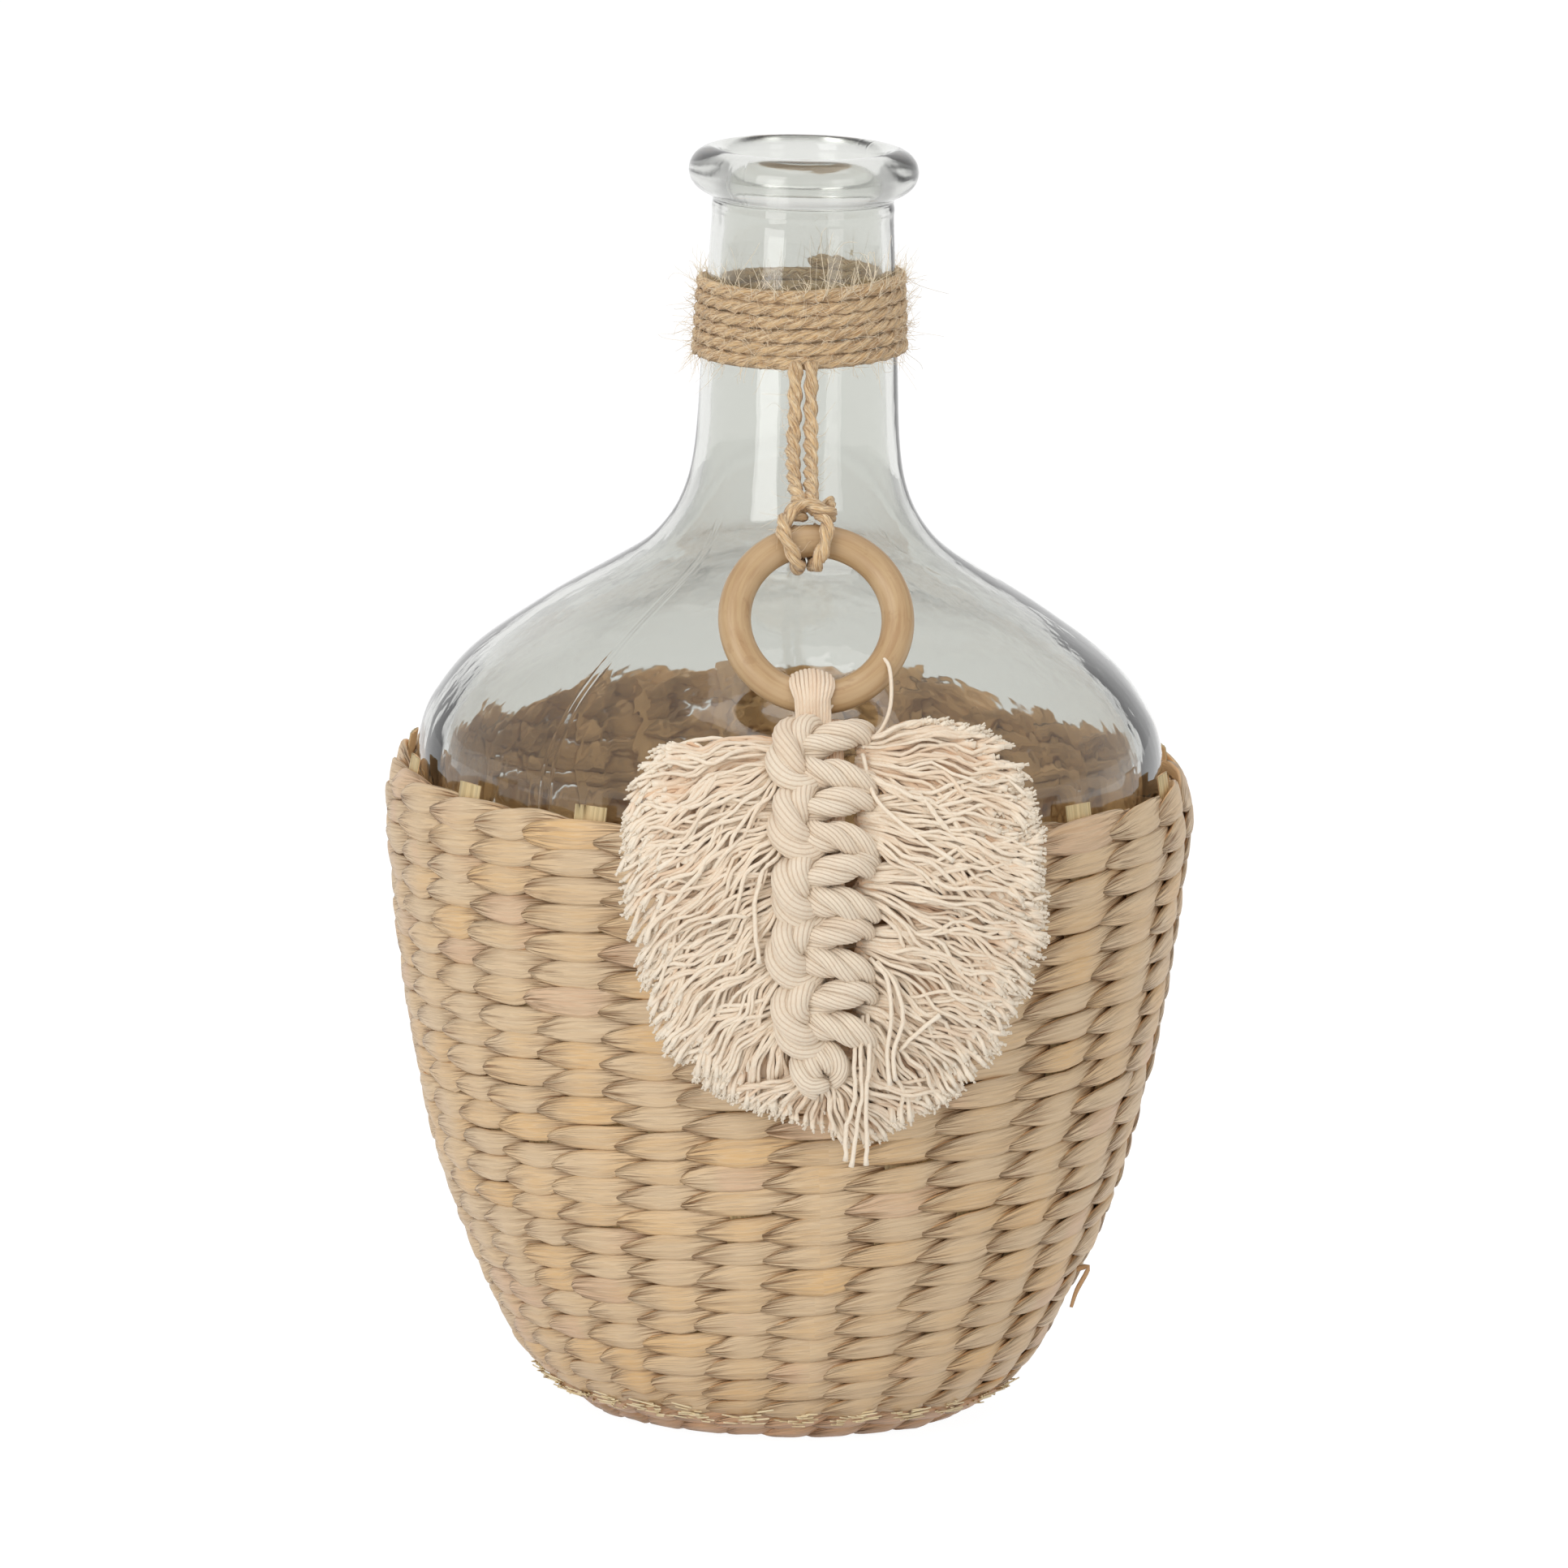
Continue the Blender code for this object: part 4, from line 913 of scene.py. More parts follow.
class DEMIJOHN_OT_wrap(bpy.types.Operator):
    """Wind the twine round the neck, with its knot behind"""

    bl_idname = "demijohn.wrap"
    bl_label = "Neck wrap"

    def execute(self, context):
        settings = context.scene.demijohn_twine
        thick, pitch, turns, hairs = settings.wrap_twine, settings.wrap_pitch, settings.turns, settings.hairs
        threads = Threads(21)
        random = threads.random
        top = WRAP_TOP - thick / 2
        turned = np.arange(-2, turns * WRAP_STEPS + 3) / WRAP_STEPS
        angle = WRAP_KNOT_ANGLE + TURN * turned
        sway = sum(amount * np.sin(angle * wave + start) for amount, wave, start in
                   ((0.00030, 1, 1), (0.00016, 2, 2), (0.00014, 3, 4), (0.00010, 2.3, 4)))
        wobble = np.interp(turned, np.arange(-1, turns + 2), random.normal(0, 0.00008, turns + 3))
        height = top - pitch * (turns - turned) + sway + wobble
        radius = neck_radius(height) + WRAP_ROOM + thick / 2 + np.abs(random.normal(0, 0.00003, len(turned)))
        path = smooth_path(np.stack([np.cos(angle) * radius, np.sin(angle) * radius, height], 1), 0.0008)
        facing = path * np.array((1, 1, 0))
        lines, ways = twine(threads, path, thick, settings.lay, facing[None])
        threads.add(path - unit(facing) * 0.0004, pitch * 1.04, 0.0014, facing[None], 8, False, 0.1)
        threads.points = [pressed(points) for points in threads.points]
        outer = dot(ways, unit(facing)[None])[..., 0] > 0.2
        roots, away, along = pressed(lines + ways * thick * 0.25)[outer], ways[outer], directions(lines)[outer]
        up = np.array((0, 0, 1))
        add_hairs(threads, roots, away, hairs, 0.0024)
        add_hairs(threads, roots, along + away * 0.25, hairs, 0.0034, 0.00012, 0.0, 0.8)
        high = roots[:, 2] > top - 0.0030
        add_hairs(threads, roots[high], away[high] * 0.5 + up * 1.2, hairs // 3, 0.0030, 0.00011, 1.0, 1.0)
        front = high & (roots[:, 1] < -np.abs(roots[:, 0]) * 0.7)
        add_hairs(threads, roots[front] + away[front] * 0.0004, away[front] * 0.2 + up * 1.6, hairs // 8, 0.0044,
                  0.00017, 1.0, 1.0)
        low = roots[:, 2] < top - pitch * (turns - 1)
        add_hairs(threads, roots[low], away[low] - up * 0.6, hairs // 5, 0.0030, 0.00009, -0.6)
        look = jute_look(settings)
        place_threads("neck_twine", threads, look, "bottle", "jute", "neck_wrap")
        self.knot(look)
        return {"FINISHED"}

    def knot(self, look):
        """An overhand knot that lies flat on the turns, with two short ends."""
        threads = Threads(22)
        t = np.linspace(0, TURN, 90)
        away = np.array((math.cos(WRAP_KNOT_ANGLE), math.sin(WRAP_KNOT_ANGLE), 0))
        across = np.array((-away[1], away[0], 0))
        up = np.array((0, 0, 1))
        centre = away * WRAP_KNOT_RADIUS + up * WRAP_KNOT_HEIGHT
        path = (centre + ((np.sin(t) + 2 * np.sin(2 * t)) * 0.00125)[:, None] * across
                - (np.sin(3 * t) * 0.00085)[:, None] * away + ((np.cos(t) - 2 * np.cos(2 * t)) * 0.00085)[:, None] * up)
        lines, ways = twine(threads, smooth_path(path, 0.0006), 0.0021, 0.0080, None, 0.6)
        for side in (-1, 1):
            end = [centre + across * side * 0.002, centre + across * side * 0.0042 + away * 0.0006,
                   centre + across * side * 0.0056 + up * 0.0014 * side + away * 0.0002]
            twine(threads, smooth_path(end, 0.0006), 0.0020, 0.0080)
        add_hairs(threads, lines.reshape(-1, 3), ways.reshape(-1, 3), 90, 0.0024)
        place_threads("neck_knot", threads, look, "bottle", "jute", "wrap_knot")


# The two strands from the wrap to the ring, in millimetres: both lie on one line from the side
STRAND_LINE = ((-22.4, 224), (-22.9, 221.4), (-23.9, 217.6), (-27.2, 213.2), (-33.6, 207.9), (-44.2, 203.2),
               (-50.4, 200.9), (-54.6, 199.8), (-56.4, 198))
STRAND_SIDES = {
    "left": (-2.4, -2.4, -2.5, -2.7, -3.4, -3.8, -3.6, -2.9, -2.4),
    "right": (0.9, 0.9, 0.8, 0.6, 0.3, -0.3, -0.6, -0.7, -0.4),
}

# The four parts of the hitch on the ring: share of the twine's size, start of its lay, spacing and places. A place is
# the turn round the ring's tube (0 is up, a quarter turn is in front) and, in millimetres, the side, the rise and how
# far outside the tube, where the last two are 0 if they are left out
HITCH_PARTS = (
    (1.0, 0.4, 0.0006, ((0.97, -2.2, 0.2), (0.02, -4, 1), (0.07, -6, 0.6), (0.14, -7.1), (0.25, -6.4), (0.38, -4.6),
                        (0.5, -3.6), (0.63, -3.4), (0.76, -3.6), (0.90, -4))),
    (1.0, 2.0, 0.0006, ((0.98, -0.2, 0.6), (0.04, 0.6, 0.8), (0.10, 1.4), (0.17, 1.9), (0.27, 1.8), (0.39, 0.8),
                        (0.5, 0), (0.63, -0.2), (0.76, 0.2), (0.90, 0.8))),
    (0.88, 1.2, 0.0006, ((0.90, -5.8), (0.97, -5.6, 0.6), (0.03, -4.4, 0.8, 1.2), (0.07, -2, 0.4, 2.2),
                         (0.10, 0.4, 0, 2.2), (0.08, 2.6, 0, 1.2), (0.01, 3.6, 0.2))),
    (0.9, 0.0, 0.0005, ((0.97, 1.2, 1), (0.03, 2.6, 1.4, 0.8), (0.06, 3.2, 1.2, 2.4))),
)


class DEMIJOHN_OT_hanger(bpy.types.Operator):
    """Hang the two strands from the wrap and hitch them on the ring"""

    bl_idname = "demijohn.hanger"
    bl_label = "Strands and hitch"

    def execute(self, context):
        settings = context.scene.demijohn_twine
        look = bpy.data.materials["jute_twine"]
        for number, (word, sides) in enumerate(STRAND_SIDES.items()):
            threads = Threads(31 + number)
            path = smooth_path(np.column_stack([sides, STRAND_LINE]) * MM, 0.0007)
            lines, ways = twine(threads, path, settings.strand_twine, settings.lay, None, 1.9 * number)
            roots, away = lines.reshape(-1, 3), ways.reshape(-1, 3)
            side = away[:, 0] * (1 if number else -1) > 0.1
            add_hairs(threads, roots[side], away[side], 70 - 25 * number, 0.0026, 0.00009, 0.2)
            place_threads(f"strand_{word}", threads, look, "hanger", "jute", f"hanger_strand_{word}")
        self.hitch(settings, look)
        return {"FINISHED"}

    def hitch(self, settings, look):
        threads = Threads(34)
        laid = []
        for share, start, spacing, places in HITCH_PARTS:
            places = np.array([(*place, 0, 0)[:4] for place in places]) * (TURN, MM, MM, MM)
            turn, side, rise, outside = places.T[..., None]
            radius = RING_TUBE / 2 + 0.0002 + HITCH_TWINE / 2 + outside
            bend = (1 - np.cos(side / RING_RADIUS)) * RING_RADIUS
            path = (np.array(RING_CENTRE) + (RING_FRONT * np.sin(turn) - RING_DOWN * np.cos(turn)) * radius
                    + RING_DOWN * (bend - rise - RING_RADIUS) + side * np.array((1, 0, 0)))
            laid.append(twine(threads, smooth_path(path, spacing), HITCH_TWINE * share, settings.lay, None, start))
        roots, ways = laid[0]
        add_hairs(threads, roots.reshape(-1, 3), ways.reshape(-1, 3), 70, 0.0024, 0.00009)
        place_threads("ring_hitch", threads, look, "ring", "jute", "ring_knot")


class DEMIJOHN_OT_ring(bpy.types.Operator):
    """Turn the wooden ring"""

    bl_idname = "demijohn.ring"
    bl_label = "Wooden ring"

    def execute(self, context):
        bpy.ops.object.select_all(action="DESELECT")
        bpy.ops.mesh.primitive_torus_add(
            major_segments=96, minor_segments=28, major_radius=RING_RADIUS, minor_radius=RING_TUBE / 2,
            location=RING_CENTRE, rotation=(math.pi / 2 - RING_LEAN, 0, 0))
        obj = bpy.context.object
        obj.name = obj.data.name = "beech_ring"
        bpy.ops.object.mode_set(mode="EDIT")
        bpy.ops.mesh.select_all(action="SELECT")
        bpy.ops.transform.resize(value=(1.004, 0.998, 0.97), orient_type="LOCAL", center_override=RING_CENTRE)
        bpy.ops.object.mode_set(mode="OBJECT")
        bpy.ops.object.shade_smooth()
        bpy.ops.object.transform_apply(location=True, rotation=True, scale=True)
        place(obj, beech_look(context.scene.demijohn_ring), "ring", "beech", "wooden_ring")
        return {"FINISHED"}


# The leaf


def leaf_depth(height):
    """How far in front of the axis the leaf hangs at a height: it bends over the basket's rim."""
    share = np.clip((LEAF_TOP - height) / LEAF_BEND, 0, 1)
    return LEAF_DEPTHS[0] + (LEAF_DEPTHS[1] - LEAF_DEPTHS[0]) * np.sin(share * math.pi / 2)


def on_leaf(points):
    """Places given as (side, height, how far in front of the leaf) in millimetres, in the frame's metres."""
    points = np.asarray(points, float) * MM
    return np.stack([points[..., 0], -leaf_depth(points[..., 1]) - points[..., 2], points[..., 1]], -1)


def rope(threads, path, thickness, start, tone=0.72, sense=1):
    """Three-ply cotton rope whose plies show their yarns."""
    lines, way = plies(path, thickness * 0.225, 3, ROPE_LAY, sense, None, start)
    run = lengths(lines)
    swell = 0.66 + 0.34 * np.sin(np.clip(run / run[:, -1:], 0, 1) * math.pi) ** 0.6
    girth = thickness * 0.56 * swell

    def shape(around):
        return 0.93 + 0.10 * np.abs(np.cos(YARNS_PER_PLY / 2 * around + run[..., None] * YARN_SPIN))

    threads.add(lines, girth, girth, way, 40, False, tone + threads.random.normal(0, 0.05, 3), 0.0, shape)


# The three parts of each square knot and the two of the end knot, with their size, start of the lay and sense.
# Places are (side, height, how far in front of the leaf) in millimetres, from the knot's middle
KNOT_SWAYS = (-0.2, 0.2, 0.4, -0.2, 1.2)
KNOT_PARTS = (
    (1.16, 0.4, -1, ((0.8, 3.6, 0.6), (-2.6, 5.2, 2.8), (-5.8, 3.4, 4.6), (-6.7, -0.4, 5.2), (-5.2, -4, 4.6),
                     (-2.2, -5.7, 2.8), (0.6, -5.6, 0.4))),
    (0.90, 2.2, 1, ((-4.4, 0.6, 1.8), (-1.8, 2.5, 4.4), (2, 3.9, 5.3), (5.6, 5, 5), (8.4, 5, 3.4), (10.2, 4, 0.8))),
    (0.92, 4.0, 1, ((-4, -1.4, 2), (-1.2, -1.9, 4.6), (3, -2.1, 5.4), (6.6, -3.3, 4.8), (9.3, -4.5, 3),
                    (10.8, -5, 0.6))),
)
END_KNOT_SWAY = 1.2
END_KNOT_PARTS = (
    (0.95, 1.0, -1, 0.78, ((-1.5, 3.5, 0.8), (-3, 1.6, 3.2), (-2.8, -1.8, 4.4), (0.4, -3.8, 3.6))),
    (0.85, 2.0, 1, 0.72, ((-1, 4, 2.6), (1.4, 3.2, 4.2), (3.4, 0.6, 3.6), (3.4, -3.4, 1.6))),
)
STRAY_YARN = ((2, 160.5, 1), (10.6, 169.5, -4.5), (14.2, 170, -2), (14.9, 163, 1), (13.2, 157.5, 2.6), (9, 153.5, 3.4))


class DEMIJOHN_OT_knots(bpy.types.Operator):
    """Tie the cotton cord over the ring and the row of square knots below it"""

    bl_idname = "demijohn.knots"
    bl_label = "Loop, core and knots"

    def execute(self, context):
        settings = context.scene.demijohn_leaf
        look = cotton_look(settings)
        rope_look = cotton_look(settings, True)
        self.loop(settings, look)
        core = Threads(41)
        height = np.linspace(158.5, 86.0, 30)
        for side in (-2.2, 0.9, 3.6):
            for yarn in range(12):
                angle = TURN * yarn / 12 + 0.05 * height
                places = np.stack([side + 1.3 * np.cos(angle), height, 1.0 + 1.3 * np.sin(angle)], 1)
                core.add(on_leaf(places), settings.yarn, None, None, 6, False, core.random.uniform(0.25, 0.5))
        place_threads("core_cords", core, look, "leaf", "cotton", "leaf_core")
        for number, (height, sway) in enumerate(zip(KNOT_HEIGHTS, KNOT_SWAYS)):
            threads = Threads(50 + number)
            random = threads.random
            for girth, start, sense, places in KNOT_PARTS:
                places = np.array(places) + np.array((sway, height, 0)) + random.normal(0, 0.16, (len(places), 3))
                start += random.uniform(-0.5, 0.5)
                rope(threads, smooth_path(on_leaf(places), 0.0009), settings.cord * girth, start, 0.72, sense)
            place_threads(f"square_knot_{number + 1}", threads, rope_look, "leaf", "cotton", f"leaf_knot_{number + 1}")
        threads = Threads(56)
        for girth, start, sense, tone, places in END_KNOT_PARTS:
            places = np.array(places) + np.array((END_KNOT_SWAY, END_KNOT_HEIGHT, 0))
            rope(threads, smooth_path(on_leaf(places), 0.0008), settings.cord * girth, start, tone, sense)
        place_threads("end_knot", threads, rope_look, "leaf", "cotton", "leaf_end_knot")
        return {"FINISHED"}

    def loop(self, settings, look):
        """Two layers of yarns that go over the ring's bottom and down into the first knot."""
        threads = Threads(40)
        random = threads.random
        tube = np.array(RING_CENTRE) + RING_DOWN * RING_RADIUS
        middle = -0.0012
        angle = np.linspace(-0.62, 0.62, 26) * math.pi
        pinch = np.interp(np.abs(angle), [0, 1.2, 2.0], [1.0, 1.0, 0.75])
        way = -RING_DOWN * np.cos(angle)[:, None] + RING_FRONT * np.sin(angle)[:, None]
        for layer, count in ((0, 11), (1, 10)):
            for number in range(count):
                side = (number - (count - 1) / 2) * 0.00084 + random.normal(0, 0.00006) + middle
                radius = RING_TUBE / 2 + 0.0006 + layer * (0.0018 - 0.0014 * ((side - middle) / 0.0042) ** 2)
                part = tube + way * radius
                part[:, 0] += (side - middle) * pinch + middle
                upper, lower = side / MM * 0.75, side / MM * 0.6
                ends = on_leaf([(lower, 153.5, 0.2), (upper, 157.5, -0.6), (upper, 158, 2.6), (lower, 153.5, 2.2)])
                path = smooth_path(np.concatenate([ends[:2], part, ends[2:]]), 0.0009)
                threads.add(path, settings.yarn, None, None, 7, False, random.uniform(0.5, 0.8))
        threads.add(smooth_path(on_leaf(STRAY_YARN), 0.0010), 0.0008, None, None, 6, False, 0.95)
        place_threads("cord_loop", threads, look, "leaf", "cotton", "leaf_loop")


def comb(threads, root, rise, roots_spread, tips, count, yarn, lead, over=0.0, layers=5.0, lit=0.60):
    """A tuft of wavy yarns from a root to the tips' line. Places are (side, height) in millimetres.

    Lead is how far sideways and down a yarn's middle is on its way, rise what is added to it, and over how far its
    tip lies in front.
    Layers is how thick the tuft is in front, and lit how much paler its front is than its back: painted light on the
    front yarns and painted shade on the back ones.
    """
    random = threads.random
    steps = np.linspace(0, 1, 17)
    tips = np.asarray(tips, float)
    spread = lengths(tips)
    share = np.sort(random.uniform(0, 1, count)) ** 1.25
    tip = np.stack([np.interp(share * spread[-1], spread, tips[:, axis]) for axis in (0, 1)], 1)
    short = random.normal(0, 0.085, count)
    reach = 1 - np.abs(short) - (random.uniform(0, 1, count) < 0.18) * random.uniform(0.05, 0.35, count)
    start = np.array(root) + (0.5 - share)[:, None] * np.array(roots_spread) + random.normal(0, 0.5, (count, 2))
    tip = start + (tip - start) * reach[:, None]
    middle = start + (tip - start) * np.array(lead) + np.array(rise) + random.normal(0, 0.8, (count, 2))
    t = steps[:, None]
    flat = start[:, None] * (1 - t) ** 2 + 2 * middle[:, None] * t * (1 - t) + tip[:, None] * t ** 2
    along = unit(tip - start)
    square = np.stack([-along[:, 1], along[:, 0]], 1)[:, None]
    wave = np.zeros((count, len(steps)))
    size = np.minimum(np.linalg.norm(tip - start, axis=1) / 30, 1.1) ** 0.8
    for scale, waves, stray in ((0.86, 1.9, 0.40), (0.36, 3.8, 0.65)):
        phase = np.interp(share, np.linspace(0, 1, 12), np.cumsum(random.uniform(-1.6, 1.6, 12)))
        phase = phase + random.normal(0, stray, count)
        pace = waves * (1 + random.normal(0, 0.06, count)) * size
        swing = np.sin(TURN * steps * pace[:, None] + phase[:, None])
        wave += scale * size[:, None] * swing * random.uniform(0.5, 1.2, (count, 1))
    flat = flat + square * (wave * np.minimum(steps * 3, 1))[..., None]
    layer = random.uniform(0, 1, (count, 1))
    front = (layer * layers * np.sin(np.minimum(steps * 1.15, 1) * math.pi) ** 0.7 * 0.75
             + layer * 1.6 - 0.8 + 0.35 * np.sin(TURN * steps * 2 + random.uniform(0, TURN, (count, 1))))
    front = front + 0.6 * np.maximum(0, 1 - steps * 2.4) + over * steps ** 0.6
    points = on_leaf(np.concatenate([flat, front[..., None]], -1))
    girth = yarn * random.uniform(0.78, 1.08, (count, 1))
    girth = girth * (1 + 0.08 * np.sin(steps * 40 + random.uniform(0, 6, (count, 1))))
    girth[:, -2:] *= (1.12, 1.25)
    # Front yarns get a higher tone, painted light, and back yarns a lower one, painted shade
    tone = np.clip(0.28 + lit * layer[:, 0] + random.normal(0, 0.08, count), 0, 1)
    threads.add(points, girth, None, None, 6, False, tone, np.clip((steps - 0.80) / 0.20, 0, 1) ** 1.5)
    ends = np.repeat(points[:, -1], 3, 0)[:, None]
    ways = unit(points[:, -1] - points[:, -2])
    fan = unit(np.repeat(ways, 3, 0) + random.normal(0, 0.30, (count * 3, 3)))[:, None]
    fluff = np.linspace(-0.0006, 0.0009, 3)[:, None] * random.uniform(0.6, 1.3, (count * 3, 1, 1))
    threads.add(ends + fan * fluff, 0.00040, None, None, 4, False, 0.95, 1.0)


# The lines that the tufts' tips reach, from the top down, as (side, height) in millimetres
LEFT_TIPS = (
    ((-31, 153.2), (-36, 150.4), (-39.3, 145.4), (-40.5, 138), (-37.5, 130.5), (-30, 127.5), (-21, 129), (-15, 133)),
    ((-39.6, 141), (-41.2, 131), (-39.5, 122), (-36, 114), (-28, 111), (-19, 113), (-13, 118)),
    ((-40.4, 127), (-38.9, 118), (-36.6, 109), (-31, 101), (-24, 98), (-17, 100), (-12, 105)),
    ((-37.2, 112), (-34.5, 101.5), (-31.4, 92.8), (-26, 87.6), (-18, 86), (-12, 89)),
    ((-32, 95), (-25, 86.6), (-18, 82.4), (-10, 79.6), (-4, 80)),
)
RIGHT_TIPS = (
    ((22, 159.8), (32, 158.2), (39.4, 154), (43, 148), (44, 140), (38, 133.5), (29, 132.5)),
    ((41.6, 150.5), (44.6, 143), (45.9, 134.5), (45, 125), (38, 120), (28, 121)),
    ((45.8, 139), (46.6, 127), (46.9, 118), (45, 108), (36, 102), (27, 104)),
    ((46.4, 122), (45.8, 111), (42.4, 102.5), (36, 92.5), (27, 89), (20, 90)),
    ((42.6, 104), (38.6, 94), (33.4, 86.8), (26, 80.6), (18, 77.2), (11, 78)),
)
BOTTOM_TIPS = ((-19, 83), (-10, 79), (0, 76.2), (8, 72.4), (14, 73.6), (22, 78), (31, 85))

# Each side's tufts: name, seed, tips and where they start sideways. Then how far their middles are moved and how wide
# their roots spread, each sideways and then upwards for every tuft from the top down, and their lead
TUFTS = (
    ("left", 60, LEFT_TIPS, -4.8, (-1.6, -0.8, 1, 1, 1, 1), (2, 6.5, 8, 8, 8, 8), (0.62, 0.20)),
    ("right", 70, RIGHT_TIPS, 8.6, (1, 1.9, 1.6, 1.3, 1, 0.7), (1, 6.5, 6.5, 6.5, 6.5, 6.5), (0.54, 0.32)),
)

# Single yarns that fall across the others, as (side, height, how far in front of the leaf) in millimetres
LOOSE_YARNS = (
    ((9.5, 100.5, 4), (9, 93, 6), (9.5, 84, 5), (8.6, 76, 4), (8, 69, 3.4)),
    ((10.3, 101, 4), (10.8, 93, 6.4), (10.4, 84, 5.2), (10.8, 76, 4), (11, 69.4, 3.2)),
    ((8.6, 99.6, 4), (7.8, 92, 6), (8.2, 84, 5.2), (6.6, 77, 4), (6.8, 70.2, 3.2)),
    ((12, 112, 4), (16, 107, 6), (17.4, 100, 6.4), (15.8, 93, 5.6), (16.2, 87.5, 4.8)),
    ((10.5, 112.5, 4), (14, 108.5, 6), (15, 101, 6.6), (14.6, 94, 5.6), (15, 86.4, 5)),
    ((-12, 128, 5.2), (-13.2, 124, 6), (-13, 118, 6.2), (-12, 111.5, 5.6)),
    ((9, 152.5, 4), (10.6, 146, 5.4), (14.5, 141.5, 6), (21.5, 136.5, 6.2), (27, 133, 5.8)),
    ((-14, 121, 5), (-18, 121.4, 6.4), (-22, 120, 6.2)),
    ((17, 93.5, 4.8), (20.5, 97.5, 5.6), (25, 101, 5.4)),
    ((-9.5, 152, 3), (-18, 154.8, 4), (-26, 154.4, 3.2), (-32, 151.6, 2)),
    ((-9, 151, 3), (-17, 152.8, 4.4), (-25, 152.4, 3.6), (-33.6, 149.8, 2)),
)


class DEMIJOHN_OT_fringe(bpy.types.Operator):
    """Comb out the fringe: five tufts on each side and one below"""

    bl_idname = "demijohn.fringe"
    bl_label = "Fringe"

    def execute(self, context):
        settings = context.scene.demijohn_leaf
        look = bpy.data.materials["cotton_yarn"]
        yarn = settings.yarn
        for word, seed, tips, side, rises, spreads, lead in TUFTS:
            for number, (height, line) in enumerate(zip(KNOT_HEIGHTS, tips)):
                threads = Threads(seed + number)
                root = np.array((side, height + 0.2))
                rise, spread = (rises[0], rises[number + 1]), (spreads[0], spreads[number + 1])
                over = 0.9 * (4 - number)
                comb(threads, root, rise, spread, line, settings.tuft_yarns, yarn, lead, over)
                # A backing layer of thicker yarns with little painted light, so that its painted shade fills the gaps
                # behind the front yarns
                under = root + (np.array(line[1:]) - root) * 0.86
                comb(threads, root, rise, spread, under, 40, yarn * 1.7, lead, over - 0.2, 0.4, 0.15)
                name = f"{word}_{number + 1}"
                place_threads(f"tuft_{name}", threads, look, "leaf", "cotton", f"fringe_{name}")
        threads = Threads(80)
        root = (1.4, END_KNOT_HEIGHT - 1.0)
        comb(threads, root, (0.0, 1.4), (-5.5, 0.0), BOTTOM_TIPS, settings.bottom_yarns, yarn, (0.45, 0.5), -0.5)
        for route in LOOSE_YARNS:
            path = smooth_path(on_leaf(route), 0.0016)
            path += threads.random.normal(0, 0.00008, path.shape)
            girth = np.full(len(path), yarn)
            girth[-1] *= 1.3
            threads.add(path, girth, None, None, 6, False, 0.93, np.linspace(0, 1, len(path)) ** 4)
        place_threads("tuft_bottom", threads, look, "leaf", "cotton", "fringe_bottom")
        return {"FINISHED"}


# Floor, world, lamps and camera

CAMERA_LENS = 335.3
CAMERA_PLACE = (-0.21449, -2.99232, 0.68560)
CAMERA_ANGLES = (79.5268, -1.3236, -3.8334)


def softbox(name, place_at, target, width, height, power):
    lamp = bpy.data.lights.new(name, "AREA")
    lamp.shape, lamp.size, lamp.size_y, lamp.energy = "RECTANGLE", width, height, power
    obj = bpy.data.objects.new(name, lamp)
    obj.location = place_at
    obj.rotation_euler = (Vector(target) - Vector(place_at)).to_track_quat("-Z", "Y").to_euler()
    bpy.context.scene.collection.objects.link(obj)


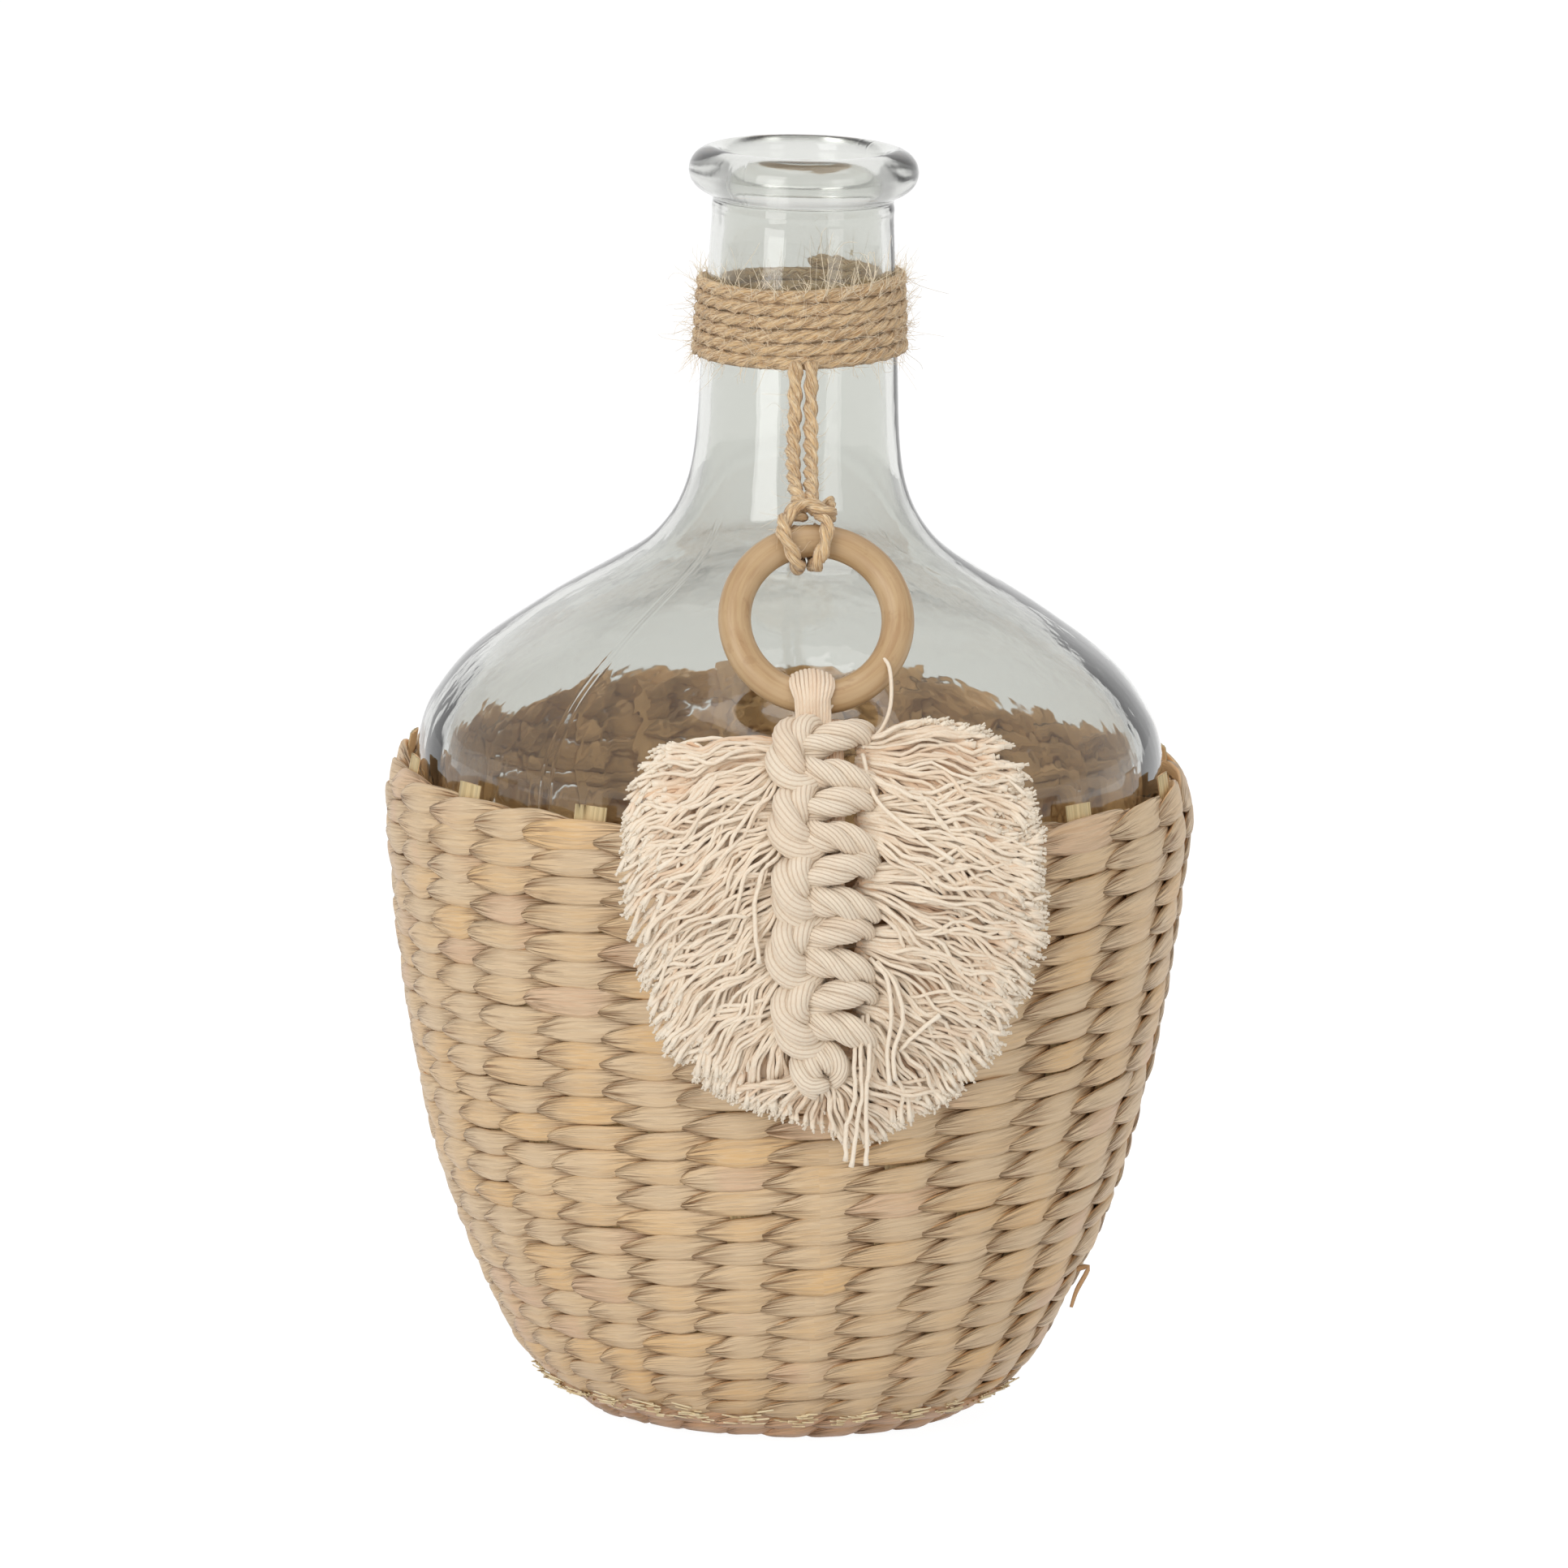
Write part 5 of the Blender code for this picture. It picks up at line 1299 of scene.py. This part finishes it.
class DEMIJOHN_OT_stage(bpy.types.Operator):
    """Set the floor, world, softboxes and camera"""

    bl_idname = "demijohn.stage"
    bl_label = "Stage"

    def execute(self, context):
        settings = context.scene.demijohn_stage
        scene = context.scene
        scene.view_settings.view_transform = "Standard"
        bpy.ops.object.select_all(action="DESELECT")
        bpy.ops.mesh.primitive_plane_add(size=12, location=(0, 0, 0))
        floor = bpy.context.object
        floor.name = "floor"
        look, nodes, shader = new_look("floor_white")
        nodes.feed(shader, {"Base Color": (0.9, 0.9, 0.9, 1), "Roughness": 0.9})
        glow = nodes.add("ShaderNodeEmission", {"Color": (1, 1, 1, 1), "Strength": 1.12})
        nodes.cover(nodes.times(nodes.seen()[0], 0.86), shader, glow)
        floor.data.materials.append(look)
        self.world(scene, settings)
        softbox("key", (-1.15, -1.45, 0.75), (0, 0, 0.16), 0.9, 1.5, settings.key_power)
        softbox("fill", (1.25, -1.75, 0.65), (0, 0, 0.16), 0.7, 1.3, settings.fill_power)
        softbox("top", (0.1, -0.3, 1.7), (0, 0, 0.1), 1.2, 1.0, settings.top_power)
        camera = bpy.data.cameras.new("camera")
        camera.lens, camera.sensor_width, camera.clip_end = CAMERA_LENS, 36, 50
        obj = bpy.data.objects.new("camera", camera)
        obj.location = CAMERA_PLACE
        obj.rotation_euler = [math.radians(angle) for angle in CAMERA_ANGLES]
        scene.collection.objects.link(obj)
        scene.camera = obj
        return {"FINISHED"}

    def world(self, scene, settings):
        """A white room, whose part behind the camera is darker in the glass."""
        world = bpy.data.worlds.new("room")
        world.use_nodes = True
        scene.world = world
        nodes = Nodes(world.node_tree)
        seen, straight = nodes.seen()
        way = nodes.split(nodes.add("ShaderNodeTexCoord").outputs["Generated"])
        behind = nodes.math("MAXIMUM", nodes.steps(way[1], 0.60, 0.985, 0.60, 1.0), straight)
        strength = nodes.add("ShaderNodeMix", {0: seen, 2: settings.world_light, 3: behind}).outputs[0]
        nodes.feed(world.node_tree.nodes["Background"], {"Color": (1, 1, 1, 1), "Strength": strength})


class DEMIJOHN_PT_panel(bpy.types.Panel):
    """Lists the steps that dress the frame"""

    bl_idname = "DEMIJOHN_PT_panel"
    bl_label = "Demijohn"
    bl_space_type = "VIEW_3D"
    bl_region_type = "UI"
    bl_category = "Demijohn"

    def draw(self, context):
        for operator in OPERATORS:
            self.layout.operator(operator.bl_idname)
        for name in SETTINGS:
            group = getattr(context.scene, name)
            box = self.layout.box()
            for key in group.bl_rna.properties.keys():
                if key not in ("rna_type", "name"):
                    box.prop(group, key)


OPERATORS = (
    DEMIJOHN_OT_stage, DEMIJOHN_OT_rows, DEMIJOHN_OT_stakes, DEMIJOHN_OT_bottle, DEMIJOHN_OT_wrap, DEMIJOHN_OT_hanger,
    DEMIJOHN_OT_ring, DEMIJOHN_OT_knots, DEMIJOHN_OT_fringe,
)


def register():
    for item in (*SETTINGS.values(), *OPERATORS, DEMIJOHN_PT_panel):
        bpy.utils.register_class(item)
    for name, group in SETTINGS.items():
        setattr(bpy.types.Scene, name, bpy.props.PointerProperty(type=group))


def unregister():
    for name in SETTINGS:
        delattr(bpy.types.Scene, name)
    for item in (DEMIJOHN_PT_panel, *OPERATORS, *SETTINGS.values()):
        bpy.utils.unregister_class(item)


def main():
    register()
    for operator in OPERATORS:
        group, name = operator.bl_idname.split(".")
        getattr(getattr(bpy.ops, group), name)()
    bpy.context.view_layer.update()


if __name__ == "__main__":
    main()
